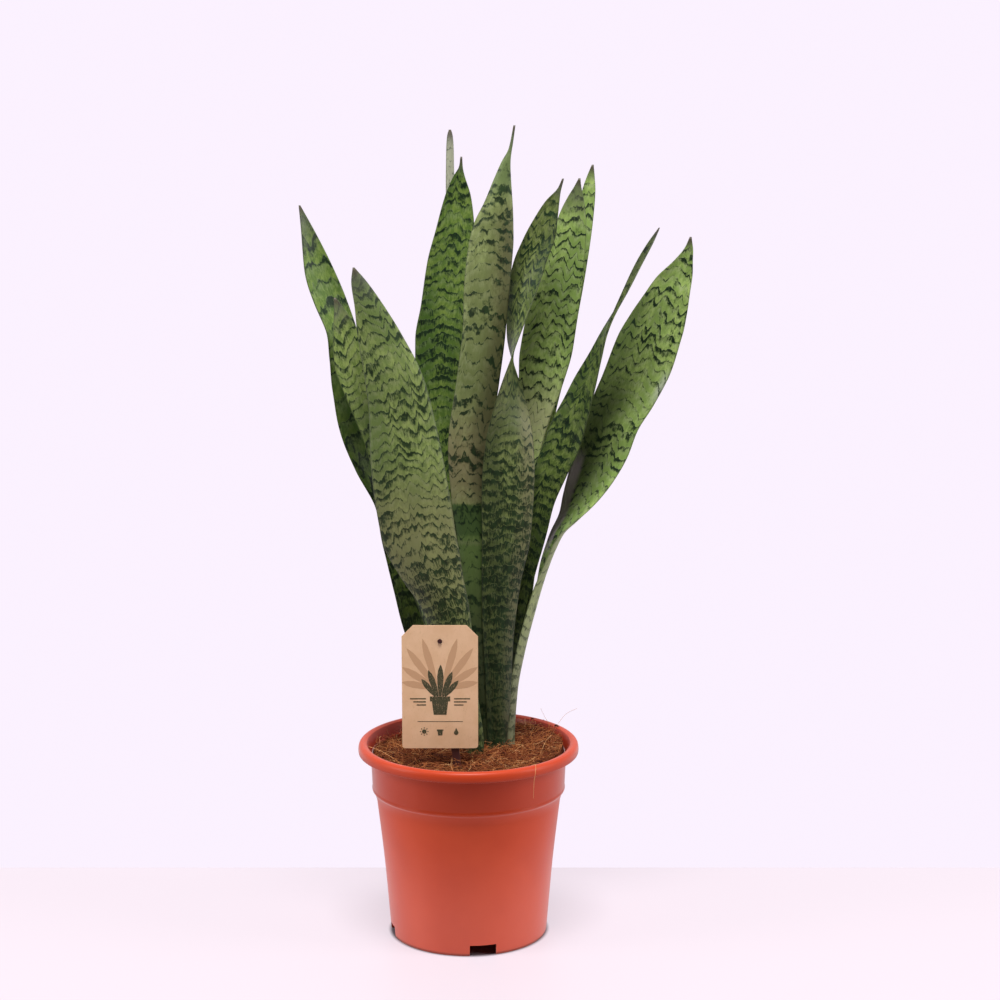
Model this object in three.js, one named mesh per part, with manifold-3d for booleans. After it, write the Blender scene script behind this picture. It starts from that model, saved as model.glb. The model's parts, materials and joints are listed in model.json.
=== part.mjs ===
// A potted bowstring hemp: eleven upright banded leaves in a terracotta-coloured plastic nursery pot
// of coir potting mix, with a kraft card label on a plastic stake.
// Millimetres, +Z up. The origin is on the pot's axis, at the foot. +X is to the right, +Y to the back.

import * as THREE from 'three';
import { mergeVertices } from 'three/addons/utils/BufferGeometryUtils.js';
import Module from 'manifold-3d';

const wasm = await Module();
wasm.setup();

// Pot
const RIM_RADIUS = 85;
const POT_HEIGHT = 152;
const LIP_DEPTH = 7.8;
const COLLAR_RADIUS = 75.4;
const STEP_TOP = 116.5;
const STEP_BOTTOM = 110;
const BODY_TOP_RADIUS = 70.9;
const BODY_FOOT_RADIUS = 60.6;
const BODY_MIDDLE = 60;
const BODY_MIDDLE_RADIUS = 65.4;
const WALL = 1.6;
const FLOOR_HEIGHT = 11.5;
const FLOOR_THICKNESS = 2;
const PAD_RADIUS = 26;
const POT_SIDES = 48;
const NOTCH_WIDTH = 20.5;
const NOTCH_HEIGHT = 8.6;
const NOTCH_TURN = 11;
const NOTCH_COUNT = 4;
const DRAIN_HOLES = 8;
const DRAIN_RADIUS = 4.2;
const DRAIN_CIRCLE = 45;

// Potting mix
const SEAT = 0.3;
const MIX_LEVEL = 146.5;
const MIX_EDGE_RADIUS = 73.3;
const FOOT_LEVEL = 126;

// Leaves
const LEAF_BASE_THICKNESS = 3.4;
const LEAF_TIP_THICKNESS = 1.2;
const MARGIN_THICKNESS = 0.7;
const ACROSS = 6;
const CUT_SPACING = 26;
const TIP_LENGTH = 1.2;

// Label
const CARD_WIDTH = 57;
const CARD_HEIGHT = 95;
const CARD_THICKNESS = 0.7;
const CARD_CHAMFER = 8.5;
const CARD_CORNER = 2.5;
const CARD_MIDDLE = -20.6;
const CARD_BOTTOM = 159.8;
const CARD_BACK = -45.6;
const PEG_HEIGHT = 242.5;
const PEG_RADIUS = 1.5;
const PEG_REACH = 1.1;
const STAKE_THICKNESS = 2;
const STAKE_TOP_WIDTH = 7.4;
const STAKE_FOOT_WIDTH = 4.6;
const STAKE_LENGTH = 168;
const STAKE_LEAN = 7.6;

// Each row of a leaf is one level cut: its height, the middle of the cut (to the right, to the back),
// the blade's width laid flat, the compass turn that the hollow inner side faces (degrees from +X,
// seen from above), and half the angle through which the blade is rolled there.
const LEAVES = {
  leaf_far_left: {
    colour: 0x5c7a3c,
    rows: [
      [126, -4, 10, 13, 345, 58], [152, -4, 10, 13, 345, 58], [190, -17, 13, 19, 300, 44],
      [233, -38, 16, 23, 286, 30], [268, -46, 17, 24, 282, 24], [301, -52.5, 17, 27, 293, 20],
      [334, -60, 18, 32, 320, 18], [362, -71, 19, 35, 305, 16], [394, -80, 20, 37, 282, 14],
      [422, -86, 20, 34, 284, 14], [446, -90, 21, 33, 301, 14], [468, -95.6, 22, 33, 320, 14],
      [488, -103.2, 23, 31, 311, 16], [508, -110.4, 24, 26.5, 302, 18], [527, -115.8, 25, 18.5, 300, 20],
      [543, -120.4, 26, 10.5, 300, 22], [561, -126, 26, 1.2, 300, 22],
    ],
  },
  leaf_left: {
    colour: 0x6b8450,
    rows: [
      [126, 0, -4, 14, 370, 56], [152, 0, -4, 14, 370, 56], [190, -9, -4, 21, 330, 44],
      [235, -19, -4, 25, 302, 32], [296, -38, -4, 28, 290, 22], [342, -53, -4, 27, 288, 17],
      [384, -64, -3, 27, 286, 15], [420, -77, -2, 29, 284, 15], [440, -84, -1, 30, 283, 15],
      [456, -87.5, 0, 26, 282, 16], [471, -91.5, 1, 17.5, 282, 18], [484, -95, 2, 9, 282, 20],
      [494, -99, 3, 1.2, 282, 20],
    ],
  },
  leaf_front_left: {
    colour: 0x6d8048,
    rows: [
      [126, 5.5, -17, 16, 72, 56], [152, 5.5, -17, 16, 72, 56], [198, -4, -19, 25, 77, 44],
      [237, -11.5, -21, 33, 80, 34], [262, -17, -22, 38, 83, 28], [285, -26.5, -23, 48, 86, 23],
      [311, -35, -24, 56.5, 88, 19], [340, -40, -25, 57, 90, 17], [378, -45, -26, 54, 92, 16],
      [412, -49, -26, 47.5, 94, 15], [440, -54.5, -26, 43, 95, 15], [468, -63.8, -25, 33.5, 96, 16],
      [490, -71.4, -25, 22.3, 98, 18], [508, -78.9, -24, 12, 98, 20], [519, -83, -24, 1.2, 98, 20],
    ],
  },
  leaf_back_left: {
    colour: 0x5b7f38,
    rows: [
      [126, 5, 20, 14, 275, 56], [152, 5, 20, 14, 275, 56], [227, 0, 21, 30, 273, 34],
      [305, -8, 22, 41, 272, 22], [368, -15.5, 23, 41, 271, 17], [414, -20, 24, 40, 270, 15],
      [460, -20.5, 26, 39, 268, 14], [486, -16.5, 27, 38, 268, 14], [518, -12.9, 28, 35.5, 268, 15],
      [545, -9.2, 29, 28.5, 268, 17], [568, -7.3, 30, 19.5, 268, 20], [582, -6.5, 30, 9, 268, 21],
      [590, -5, 30, 2.5, 268, 22], [597, -4.7, 30, 1.2, 268, 22],
    ],
  },
  leaf_middle_tall: {
    colour: 0x7f8858,
    rows: [
      [126, 12, 2, 14, 80, 58], [152, 12, 2, 14, 80, 58], [232, 6.5, 1, 22, 84, 42],
      [279, 5, 0, 21, 86, 34], [312, 2.5, 0, 22, 88, 30], [343, 0, 0, 26, 89, 28],
      [387, 1.5, -1, 33, 90, 25], [430, 7.5, -1, 33, 90, 24], [470, 12.5, 0, 33, 90, 24],
      [508, 15, 1, 35, 90, 24], [532, 17.5, 2, 34, 90, 24], [549, 19.6, 3, 30, 90, 26],
      [565, 23.2, 4, 21.5, 88, 30], [582, 26.2, 5, 13, 85, 34], [594, 28.7, 5, 7, 82, 36],
      [604, 32, 6, 2.4, 80, 36], [621, 35, 6, 1.2, 80, 36],
    ],
  },
  leaf_front_middle: {
    colour: 0x55693c,
    rows: [
      [126, 22, -5.5, 17, 88, 54], [152, 22, -5.5, 17, 88, 54], [186, 23, -5.5, 20, 89, 44],
      [231, 23, -6, 24, 90, 34], [275, 25, -6, 30, 91, 27], [312, 29, -7, 37, 92, 21],
      [358, 30.5, -7, 40, 95, 17], [388, 31.5, -7, 37, 106, 14], [408, 32, -6, 35, 128, 12],
      [432, 31.8, -5, 34, 158, 10], [456, 32.6, -3, 33, 186, 9], [480, 36.5, -1, 31, 207, 11],
      [502, 41.5, 1, 29, 228, 14], [522, 47, 3, 26, 248, 16], [538, 53.5, 4, 24, 260, 18],
      [553, 58.5, 5, 17.5, 264, 20], [566, 63.5, 6, 10, 265, 22], [575, 68.5, 6, 2.6, 265, 24],
      [582, 71, 6, 1.2, 265, 24],
    ],
  },
  leaf_right_middle: {
    colour: 0x688845,
    rows: [
      [126, 19, 18.5, 14, 262, 56], [152, 19, 18.5, 14, 262, 56], [190, 24, 22, 18, 260, 44],
      [228, 30, 25, 22, 258, 36], [291, 34, 27, 26, 254, 25], [338, 39, 26, 28, 252, 20],
      [370, 42, 26, 27, 253, 18], [398, 47.4, 26, 30, 256, 17], [425, 55, 26, 34, 262, 15],
      [452, 59.5, 26, 40, 268, 14], [479, 64, 26, 39, 270, 14], [500, 69, 27, 35, 270, 15],
      [520, 73, 28, 30, 270, 16], [544, 77.5, 29, 24, 270, 18], [557, 79.3, 30, 18.5, 270, 20],
      [568, 81.3, 30, 11, 270, 22], [575, 82.7, 30, 5, 270, 23], [581, 84, 30, 1.2, 270, 23],
    ],
  },
  leaf_right_back: {
    colour: 0x6f8f48,
    rows: [
      [126, 25, 26, 14, 255, 56], [152, 25, 26, 14, 255, 56], [225, 36, 34, 19, 258, 34],
      [290, 43, 38, 21, 258, 24], [335, 49, 40, 21, 258, 20], [396, 56, 42, 21, 256, 16],
      [442, 67, 44, 20.5, 256, 15], [488, 76.8, 46, 19, 256, 15], [526, 84.2, 48, 16.5, 256, 16],
      [552, 88.9, 50, 13.5, 256, 18], [570, 91.6, 51, 10.5, 256, 21], [580, 93, 52, 6.5, 256, 23],
      [590, 94.6, 52, 1.2, 256, 23],
    ],
  },
  leaf_right_twisted: {
    colour: 0x4f6a35,
    rows: [
      [126, 26, 10, 12, 215, 54], [152, 26, 10, 12, 215, 54], [190, 28.5, 11, 13, 230, 46],
      [222, 32, 13, 14, 245, 38], [250, 37, 14, 14.5, 254, 32], [280, 43.5, 15, 16, 262, 26],
      [313, 51, 15, 19, 264, 22], [334, 54.5, 14, 22, 264, 20], [357, 61.4, 12, 27.2, 261, 18],
      [378, 70, 11, 30, 252, 20], [400, 77, 10, 31, 237, 24], [416, 83, 9, 30, 224, 28],
      [432, 88.8, 8, 31, 211, 30], [450, 95.7, 7, 28, 197, 28], [466, 101.4, 6, 25, 185, 22],
      [480, 107.8, 6, 23, 176, 18], [498, 117.2, 5, 22, 166, 18], [520, 128, 4, 18.5, 159, 17],
      [535, 136.2, 4, 12, 156, 18], [546, 142.5, 4, 1.2, 156, 18],
    ],
  },
  leaf_far_right: {
    colour: 0x617f3e,
    rows: [
      [126, 31, 3, 14, 165, 56], [152, 31, 3, 14, 165, 56], [190, 33, 4, 16, 165, 54],
      [222, 38.5, 6, 18, 165, 54], [250, 45.5, 9, 20, 167, 52], [270, 51, 12, 22, 172, 50],
      [288, 56.5, 14, 24, 184, 50], [300, 60.8, 15, 26, 187, 50], [312, 66.4, 17, 30, 190, 46],
      [324, 76.2, 18, 35, 203, 42], [338, 85.3, 20, 40, 222, 38], [354, 93.8, 22, 43, 237, 32],
      [372, 101.5, 24, 45, 247, 26], [390, 107.4, 26, 45.5, 252, 22], [410, 117.3, 28, 49.5, 257, 18],
      [433, 128.2, 29, 51, 262, 15], [462, 138.2, 30, 48.8, 266, 14], [478, 144.5, 31, 43, 268, 14],
      [493, 150.5, 31, 35, 269, 15], [507, 156.5, 32, 27, 270, 16], [519, 162.9, 32, 14.5, 270, 18],
      [529, 167, 32, 6, 270, 20], [537, 168.2, 32, 1.2, 270, 20],
    ],
  },
  leaf_back_upright: {
    colour: 0x7d9070,
    rows: [
      [126, 6, 31, 15, 265, 56], [152, 6, 31, 15, 265, 56], [222, -3, 37, 21, 245, 34],
      [301, -11, 43, 24, 215, 20], [410, -12, 49, 27, 185, 14], [487, -12.5, 53, 23, 174, 12],
      [548, -13, 56, 17, 158, 12], [586, -13.8, 58, 10.5, 148, 14], [606, -13.8, 59, 8, 144, 16],
      [612, -13.8, 59, 6, 144, 16], [616, -13.8, 59, 2, 144, 16],
    ],
  },
};

const group = new THREE.Group();

function addMesh(name, geometry, colour, roughness) {
  const material = new THREE.MeshStandardMaterial({ color: colour, roughness, metalness: 0 });
  const mesh = new THREE.Mesh(geometry, material);
  mesh.name = name;
  group.add(mesh);
}

// Only position is left, so that vertices at one place become one vertex.
function weld(geometry) {
  const bare = geometry.clone();
  bare.deleteAttribute('normal');
  bare.deleteAttribute('uv');
  return mergeVertices(bare, 1e-4);
}

function toSolid(geometry) {
  const closed = weld(geometry);
  const vertProperties = new Float32Array(closed.attributes.position.array);
  const triVerts = new Uint32Array(closed.index.array);
  return new wasm.Manifold(new wasm.Mesh({ numProp: 3, vertProperties, triVerts }));
}

function toGeometry(solid) {
  const { vertProperties, triVerts } = solid.getMesh();
  const geometry = new THREE.BufferGeometry();
  geometry.setAttribute('position', new THREE.BufferAttribute(new Float32Array(vertProperties), 3));
  geometry.setIndex(new THREE.BufferAttribute(new Uint32Array(triVerts), 1));
  geometry.computeVertexNormals();
  return geometry;
}

// A lathe turned about the vertical axis, from a closed outline of [radius, height] pairs.
function turned(outline) {
  const points = outline.map(([radius, height]) => new THREE.Vector2(radius, height));
  return new THREE.LatheGeometry(points, POT_SIDES).rotateX(Math.PI / 2);
}

// Smooth value of one column of a leaf's rows at a height, which never passes beyond its rows.
function valueAt(rows, column, height) {
  const last = rows.length - 1;
  const gap = (i) => rows[i + 1][0] - rows[i][0];
  const rise = (i) => (rows[i + 1][column] - rows[i][column]) / gap(i);
  const slope = (i) => {
    if (i === 0) return rise(0);
    if (i === last) return rise(last - 1);
    const before = rise(i - 1);
    const after = rise(i);
    if (before * after <= 0) return 0;
    const w1 = 2 * gap(i) + gap(i - 1);
    const w2 = gap(i) + 2 * gap(i - 1);
    return (w1 + w2) / (w1 / before + w2 / after);
  };
  let i = 0;
  while (i < last - 1 && rows[i + 1][0] <= height) i += 1;
  const h = gap(i);
  const t = (height - rows[i][0]) / h;
  return (1 + 2 * t) * (1 - t) ** 2 * rows[i][column]
    + t * (1 - t) ** 2 * h * slope(i)
    + t * t * (3 - 2 * t) * rows[i + 1][column]
    + t * t * (t - 1) * h * slope(i + 1);
}

// One level cut through a leaf: an arc that is thickest along the middle. The inner side runs first
// and the outer side runs back, so the ring turns anticlockwise seen from above.
function leafCut(rows, height, spare) {
  const [x, y, width, turn, roll] = [1, 2, 3, 4, 5].map((column) => valueAt(rows, column, height));
  const top = rows[rows.length - 1][0];
  const rise = THREE.MathUtils.clamp((height - MIX_LEVEL) / (top - MIX_LEVEL), 0, 1);
  const full = LEAF_BASE_THICKNESS - (LEAF_BASE_THICKNESS - LEAF_TIP_THICKNESS) * rise ** 0.6;
  const middle = Math.max(Math.min(full, 0.45 * width), MARGIN_THICKNESS);
  const half = THREE.MathUtils.degToRad(roll);
  const radius = width / 2 / half;
  const facing = THREE.MathUtils.degToRad(turn);
  const inward = new THREE.Vector2(Math.cos(facing), Math.sin(facing));
  const along = new THREE.Vector2(-inward.y, inward.x);
  const centre = new THREE.Vector2(x, y).addScaledVector(inward, radius * Math.cos(half));
  const reach = half * (1 + 2 * spare / width);
  const point = (u, side) => {
    const thickness = MARGIN_THICKNESS + (middle - MARGIN_THICKNESS) * (1 - u * u);
    const r = radius + side * (thickness / 2 + spare);
    return centre.clone()
      .addScaledVector(along, r * Math.sin(u * reach))
      .addScaledVector(inward, -r * Math.cos(u * reach));
  };
  const steps = Array.from({ length: ACROSS }, (_, i) => -1 + 2 * i / (ACROSS - 1));
  return [...steps.map((u) => point(u, -1)), ...steps.reverse().map((u) => point(u, 1))];
}

// A closed body through level rings of equal length. A ring's first half faces its second half,
// so each end is closed by a strip of quads, or by a point.
function loft(cuts, tip) {
  const count = cuts[0].ring.length;
  const positions = cuts.flatMap(({ ring, height }) => ring.flatMap((p) => [p.x, p.y, height]));
  const index = [];
  for (let level = 0; level < cuts.length - 1; level += 1) {
    for (let i = 0; i < count; i += 1) {
      const a = level * count + i;
      const b = level * count + (i + 1) % count;
      index.push(a, b, b + count, a, b + count, a + count);
    }
  }
  const topRing = (cuts.length - 1) * count;
  for (let i = 0; i < count / 2 - 1; i += 1) {
    const opposite = count - 1 - i;
    index.push(i, opposite, opposite - 1, i, opposite - 1, i + 1);
    if (!tip) {
      index.push(topRing + i, topRing + opposite - 1, topRing + opposite);
      index.push(topRing + i, topRing + i + 1, topRing + opposite - 1);
    }
  }
  if (tip) {
    const tipIndex = positions.length / 3;
    positions.push(...tip);
    for (let i = 0; i < count; i += 1) index.push(topRing + i, topRing + (i + 1) % count, tipIndex);
  }
  const geometry = new THREE.BufferGeometry();
  geometry.setAttribute('position', new THREE.Float32BufferAttribute(positions, 3));
  geometry.setIndex(index);
  geometry.computeVertexNormals();
  return geometry;
}

function leafGeometry(rows) {
  const heights = [];
  for (let i = 0; i < rows.length - 1; i += 1) {
    const gap = rows[i + 1][0] - rows[i][0];
    const parts = rows[i][0] < MIX_LEVEL ? 1 : Math.ceil(gap / CUT_SPACING);
    for (let k = 0; k < parts; k += 1) heights.push(rows[i][0] + gap * k / parts);
  }
  const [topHeight, topX, topY] = rows[rows.length - 1];
  heights.push(topHeight);
  const cuts = heights.map((height) => ({ height, ring: leafCut(rows, height, 0) }));
  return loft(cuts, [topX, topY, topHeight + TIP_LENGTH]);
}

// The hole that a leaf's straight foot stands in.
function footHole(rows) {
  const ring = leafCut(rows, FOOT_LEVEL, SEAT);
  return toSolid(loft([{ height: FOOT_LEVEL - SEAT, ring }, { height: POT_HEIGHT + 20, ring }]));
}

function notch() {
  const half = NOTCH_WIDTH / 2;
  const corner = 1.6;
  const outline = new THREE.Shape([
    new THREE.Vector2(-half, -5),
    new THREE.Vector2(half, -5),
    new THREE.Vector2(half, NOTCH_HEIGHT - corner),
    new THREE.Vector2(half - corner, NOTCH_HEIGHT),
    new THREE.Vector2(corner - half, NOTCH_HEIGHT),
    new THREE.Vector2(-half, NOTCH_HEIGHT - corner),
  ]);
  const reach = 14;
  return new THREE.ExtrudeGeometry(outline, { depth: reach, bevelEnabled: false })
    .rotateX(Math.PI / 2)
    .translate(0, reach / 2 - BODY_FOOT_RADIUS, 0);
}

function potGeometry() {
  const lipBottom = POT_HEIGHT - LIP_DEPTH;
  const underFloor = FLOOR_HEIGHT - FLOOR_THICKNESS;
  const outline = [
    [0, 0], [PAD_RADIUS, 0], [PAD_RADIUS + 5, underFloor],
    [BODY_FOOT_RADIUS - WALL, underFloor], [BODY_FOOT_RADIUS - WALL - 0.4, 0],
    [BODY_FOOT_RADIUS - 1, 0], [BODY_FOOT_RADIUS, 1.2], [BODY_MIDDLE_RADIUS, BODY_MIDDLE],
    [BODY_TOP_RADIUS, STEP_BOTTOM - 3], [BODY_TOP_RADIUS + 0.8, STEP_BOTTOM],
    [COLLAR_RADIUS - 1.5, STEP_TOP - 1], [COLLAR_RADIUS - 1.1, STEP_TOP + 1],
    [COLLAR_RADIUS, lipBottom - 1.5], [COLLAR_RADIUS + 1.2, lipBottom + 2],
    [COLLAR_RADIUS + 3.6, lipBottom + 4.8], [RIM_RADIUS - 3.6, lipBottom + 5.4],
    [RIM_RADIUS - 1.9, lipBottom + 3.6], [RIM_RADIUS - 1.7, lipBottom],
    [RIM_RADIUS - 0.3, lipBottom], [RIM_RADIUS, lipBottom + 1.4],
    [RIM_RADIUS - 0.1, POT_HEIGHT - 3.2], [RIM_RADIUS - 1.1, POT_HEIGHT - 1.1],
    [RIM_RADIUS - 2.8, POT_HEIGHT], [RIM_RADIUS - 5, POT_HEIGHT],
    [RIM_RADIUS - 7, POT_HEIGHT - 1.1], [RIM_RADIUS - 8.8, POT_HEIGHT - 4],
    [COLLAR_RADIUS - WALL, lipBottom - 2], [COLLAR_RADIUS - 1.4 - WALL, STEP_TOP + 1],
    [COLLAR_RADIUS - 1.8 - WALL, STEP_TOP - 1], [BODY_TOP_RADIUS + 0.5 - WALL, STEP_BOTTOM],
    [BODY_TOP_RADIUS - WALL, STEP_BOTTOM - 3], [BODY_MIDDLE_RADIUS - WALL, BODY_MIDDLE],
    [BODY_FOOT_RADIUS + 0.8 - WALL, FLOOR_HEIGHT], [PAD_RADIUS + 4.2, FLOOR_HEIGHT],
    [PAD_RADIUS - 0.8, FLOOR_THICKNESS], [0, FLOOR_THICKNESS],
  ];
  let pot = toSolid(turned(outline));
  const notchShape = notch();
  for (let i = 0; i < NOTCH_COUNT; i += 1) {
    const turn = THREE.MathUtils.degToRad(NOTCH_TURN) + i * 2 * Math.PI / NOTCH_COUNT;
    pot = pot.subtract(toSolid(notchShape.clone().rotateZ(turn)));
  }
  const drain = new THREE.CylinderGeometry(DRAIN_RADIUS, DRAIN_RADIUS, 3 * FLOOR_THICKNESS, 12)
    .rotateX(Math.PI / 2)
    .translate(DRAIN_CIRCLE, 0, FLOOR_HEIGHT - FLOOR_THICKNESS / 2);
  for (let i = 0; i < DRAIN_HOLES; i += 1) {
    pot = pot.subtract(toSolid(drain.clone().rotateZ(i * 2 * Math.PI / DRAIN_HOLES)));
  }
  return toGeometry(pot);
}

// The mix lies higher to the right and round the leaves, sinks at the back left, and is uneven.
function mixLevel(x, y) {
  const fall = Math.max(0, (-0.45 * x + 0.89 * y) / 75 - 0.55);
  const mound = Math.exp(-((x - 15) ** 2 + (y - 5) ** 2) / 32 ** 2);
  const lumps = 0.8 * Math.sin(x / 7.3 + 1.1) * Math.cos(y / 8.1) + 0.5 * Math.sin((x - 1.6 * y) / 6.2);
  return MIX_LEVEL + x / 35 + 1.2 * mound + lumps - 28 * fall ** 1.2;
}

function mixGeometry(holes) {
  const inside = BODY_TOP_RADIUS - WALL - SEAT;
  const topRings = [MIX_EDGE_RADIUS, 64, 54, 43, 32, 20, 9, 0];
  const outline = [
    [0, FLOOR_THICKNESS + SEAT], [PAD_RADIUS - 1.2, FLOOR_THICKNESS + SEAT],
    [PAD_RADIUS + 3.8, FLOOR_HEIGHT + SEAT], [BODY_FOOT_RADIUS + 0.4 - WALL, FLOOR_HEIGHT + SEAT],
    [BODY_MIDDLE_RADIUS - WALL - SEAT, BODY_MIDDLE],
    [inside, STEP_BOTTOM - 3], [inside + 0.5, STEP_BOTTOM + 0.3],
    [COLLAR_RADIUS - 1.8 - WALL - SEAT, STEP_TOP - 0.7],
    ...topRings.map((radius) => [radius, MIX_LEVEL]),
  ];
  const geometry = turned(outline);
  const position = geometry.attributes.position;
  for (let i = 0; i < position.count; i += 1) {
    if (position.getZ(i) > MIX_LEVEL - 1) position.setZ(i, mixLevel(position.getX(i), position.getY(i)));
  }
  let mix = toSolid(geometry);
  for (const hole of holes) mix = mix.subtract(hole);
  return toGeometry(mix);
}

function cardGeometry() {
  const half = CARD_WIDTH / 2;
  const outline = new THREE.Shape();
  outline.moveTo(CARD_CORNER - half, 0);
  outline.lineTo(half - CARD_CORNER, 0);
  outline.quadraticCurveTo(half, 0, half, CARD_CORNER);
  outline.lineTo(half, CARD_HEIGHT - CARD_CHAMFER);
  outline.lineTo(half - CARD_CHAMFER, CARD_HEIGHT);
  outline.lineTo(CARD_CHAMFER - half, CARD_HEIGHT);
  outline.lineTo(-half, CARD_HEIGHT - CARD_CHAMFER);
  outline.lineTo(-half, CARD_CORNER);
  outline.quadraticCurveTo(-half, 0, CARD_CORNER - half, 0);
  const hole = new THREE.Path();
  hole.absarc(0, PEG_HEIGHT - CARD_BOTTOM, PEG_RADIUS + SEAT, 0, 2 * Math.PI, true);
  outline.holes.push(hole);
  return new THREE.ExtrudeGeometry(outline, { depth: CARD_THICKNESS, bevelEnabled: false, curveSegments: 6 })
    .rotateX(Math.PI / 2)
    .translate(CARD_MIDDLE, CARD_BACK, CARD_BOTTOM);
}

// The stake's blade seen from the front, hanging below its peg, which is at the shape's origin.
function stakeBlade(spare) {
  const top = STAKE_TOP_WIDTH / 2 + spare;
  const foot = STAKE_FOOT_WIDTH / 2 + spare;
  const shoulder = 3.4;
  const point = 14;
  const outline = new THREE.Shape([
    new THREE.Vector2(0, -STAKE_LENGTH - 2 * spare),
    new THREE.Vector2(foot, point - STAKE_LENGTH),
    new THREE.Vector2(top, 0),
    new THREE.Vector2(top - 0.9, shoulder - 0.9),
    new THREE.Vector2(top - 2, shoulder),
    new THREE.Vector2(2 - top, shoulder),
    new THREE.Vector2(0.9 - top, shoulder - 0.9),
    new THREE.Vector2(-top, 0),
    new THREE.Vector2(-foot, point - STAKE_LENGTH),
  ]);
  return new THREE.ExtrudeGeometry(outline, { depth: STAKE_THICKNESS + 2 * spare, bevelEnabled: false })
    .rotateX(Math.PI / 2)
    .rotateY(THREE.MathUtils.degToRad(-STAKE_LEAN))
    .translate(CARD_MIDDLE, CARD_BACK + SEAT + STAKE_THICKNESS + spare, PEG_HEIGHT);
}

function stakeGeometry() {
  const pegLength = CARD_THICKNESS + SEAT + PEG_REACH + 1;
  const peg = new THREE.CylinderGeometry(PEG_RADIUS, PEG_RADIUS, pegLength, 12)
    .translate(CARD_MIDDLE, CARD_BACK + SEAT + 1 - pegLength / 2, PEG_HEIGHT);
  return toGeometry(toSolid(stakeBlade(0)).add(toSolid(peg)));
}

addMesh('pot', potGeometry(), 0xb84a30, 0.42);
const holes = Object.values(LEAVES).map(({ rows }) => footHole(rows));
holes.push(toSolid(stakeBlade(SEAT)));
addMesh('potting_mix', mixGeometry(holes), 0x6b3524, 0.95);
for (const [name, { colour, rows }] of Object.entries(LEAVES)) {
  addMesh(name, leafGeometry(rows), colour, 0.45);
}
addMesh('label_card', cardGeometry(), 0xcba37c, 0.85);
addMesh('label_stake', stakeGeometry(), 0x2a1012, 0.5);

export default group;
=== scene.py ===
# Looks for the potted bowstring hemp: banded waxy leaves, satin plastic pot, coir potting mix,
# kraft card label and its stake. Sizes in the tables are millimetres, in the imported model's frame.
import json
import math
import random
from functools import reduce

import bmesh
import bpy
import numpy as np
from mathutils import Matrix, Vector


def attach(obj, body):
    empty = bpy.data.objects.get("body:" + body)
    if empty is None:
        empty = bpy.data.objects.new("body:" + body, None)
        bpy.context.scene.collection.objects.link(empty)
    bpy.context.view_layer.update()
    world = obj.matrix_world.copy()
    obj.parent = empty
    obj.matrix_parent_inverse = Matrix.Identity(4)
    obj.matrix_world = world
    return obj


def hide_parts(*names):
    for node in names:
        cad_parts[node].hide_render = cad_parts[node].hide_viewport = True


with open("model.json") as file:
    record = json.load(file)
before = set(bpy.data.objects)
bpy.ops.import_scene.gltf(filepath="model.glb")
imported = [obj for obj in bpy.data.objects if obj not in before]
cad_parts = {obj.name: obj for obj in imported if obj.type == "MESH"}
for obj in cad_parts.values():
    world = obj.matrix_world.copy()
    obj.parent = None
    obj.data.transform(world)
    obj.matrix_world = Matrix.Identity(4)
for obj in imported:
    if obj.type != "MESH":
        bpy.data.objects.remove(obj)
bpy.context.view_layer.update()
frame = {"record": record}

MM = 0.001
# The gap between pieces that sit against each other
SEAT = 0.3

# Camera and studio, in metres
CAMERA_PLACE = (0.0243, -1.755, 0.677)
CAMERA_PITCH = 79.16
CAMERA_LENS = 85
CAMERA_SENSOR = 36
TABLE_BACK_EDGE = 0.137
TABLE_FRONT_EDGE = -0.42
TABLE_HALF = 2.0
TABLE_COLOUR = (0.2, 0.172, 0.192)
TABLE_GLOW_COLOUR = (1, 0.89, 0.97)
TABLE_GLOW = 0.6
BACKDROP_COLOUR = (0.97, 0.885, 1.0)
# The room's light: its colour, its strength in front and behind, and where it turns from one to the other
ROOM_COLOUR = (0.97, 0.93, 1.0)
ROOM_FRONT = 0.04
ROOM_BACK = 0.75
ROOM_TURN = (-0.35, 0.6)
# Each softbox: place, aim, width, height and watts
SOFTBOXES = {
    "key_softbox": ((0, -0.62, 2.15), (0, 0, 0.25), 0.7, 0.5, 56),
    "left_softbox": ((-1.55, -0.45, 0.9), (0, 0, 0.3), 0.6, 1.2, 17),
    "right_softbox": ((1.55, -0.4, 0.9), (0, 0, 0.3), 0.6, 1.2, 18),
}

# Pot, in millimetres
RIM_RADIUS = 85
POT_HEIGHT = 152
LIP_DEPTH = 7.8
LIP_BOTTOM = POT_HEIGHT - LIP_DEPTH
COLLAR_RADIUS = 75.4
STEP_TOP = 116.5
STEP_BOTTOM = 110
BODY_TOP_RADIUS = 70.9
BODY_FOOT_RADIUS = 60.6
BODY_MIDDLE = 60
BODY_MIDDLE_RADIUS = 65.4
WALL = 1.6
FLOOR_HEIGHT = 11.5
FLOOR_THICKNESS = 2
UNDER_FLOOR = FLOOR_HEIGHT - FLOOR_THICKNESS
PAD_RADIUS = 26
POT_SIDES = 192
NOTCH_WIDTH = 20.5
NOTCH_HEIGHT = 8.6
NOTCH_TURN = 11
NOTCH_COUNT = 4
DRAIN_HOLES = 8
DRAIN_RADIUS = 4.2
DRAIN_CIRCLE = 45
TERRACOTTA = (0.54, 0.055, 0.013)
TERRACOTTA_LIGHT = (0.59, 0.066, 0.017)
PLASTIC_DUST = (0.7, 0.2, 0.12)
COLLAR_PAINTED_SHADOW = (0.33, 0.018, 0.003)
LIP_PAINTED_SHADE = (0.33, 0.025, 0.006)
INNER_WALL_PAINTED_SHADE = (0.14, 0.008, 0.004)
POT_FOOT_PAINTED_SHADE = (0.22, 0.03, 0.012)

# Potting mix
MIX_LEVEL = 146.5
MIX_EDGE_RADIUS = 73.3
MIX_RINGS = 84
MIX_SECTORS = 330
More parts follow.
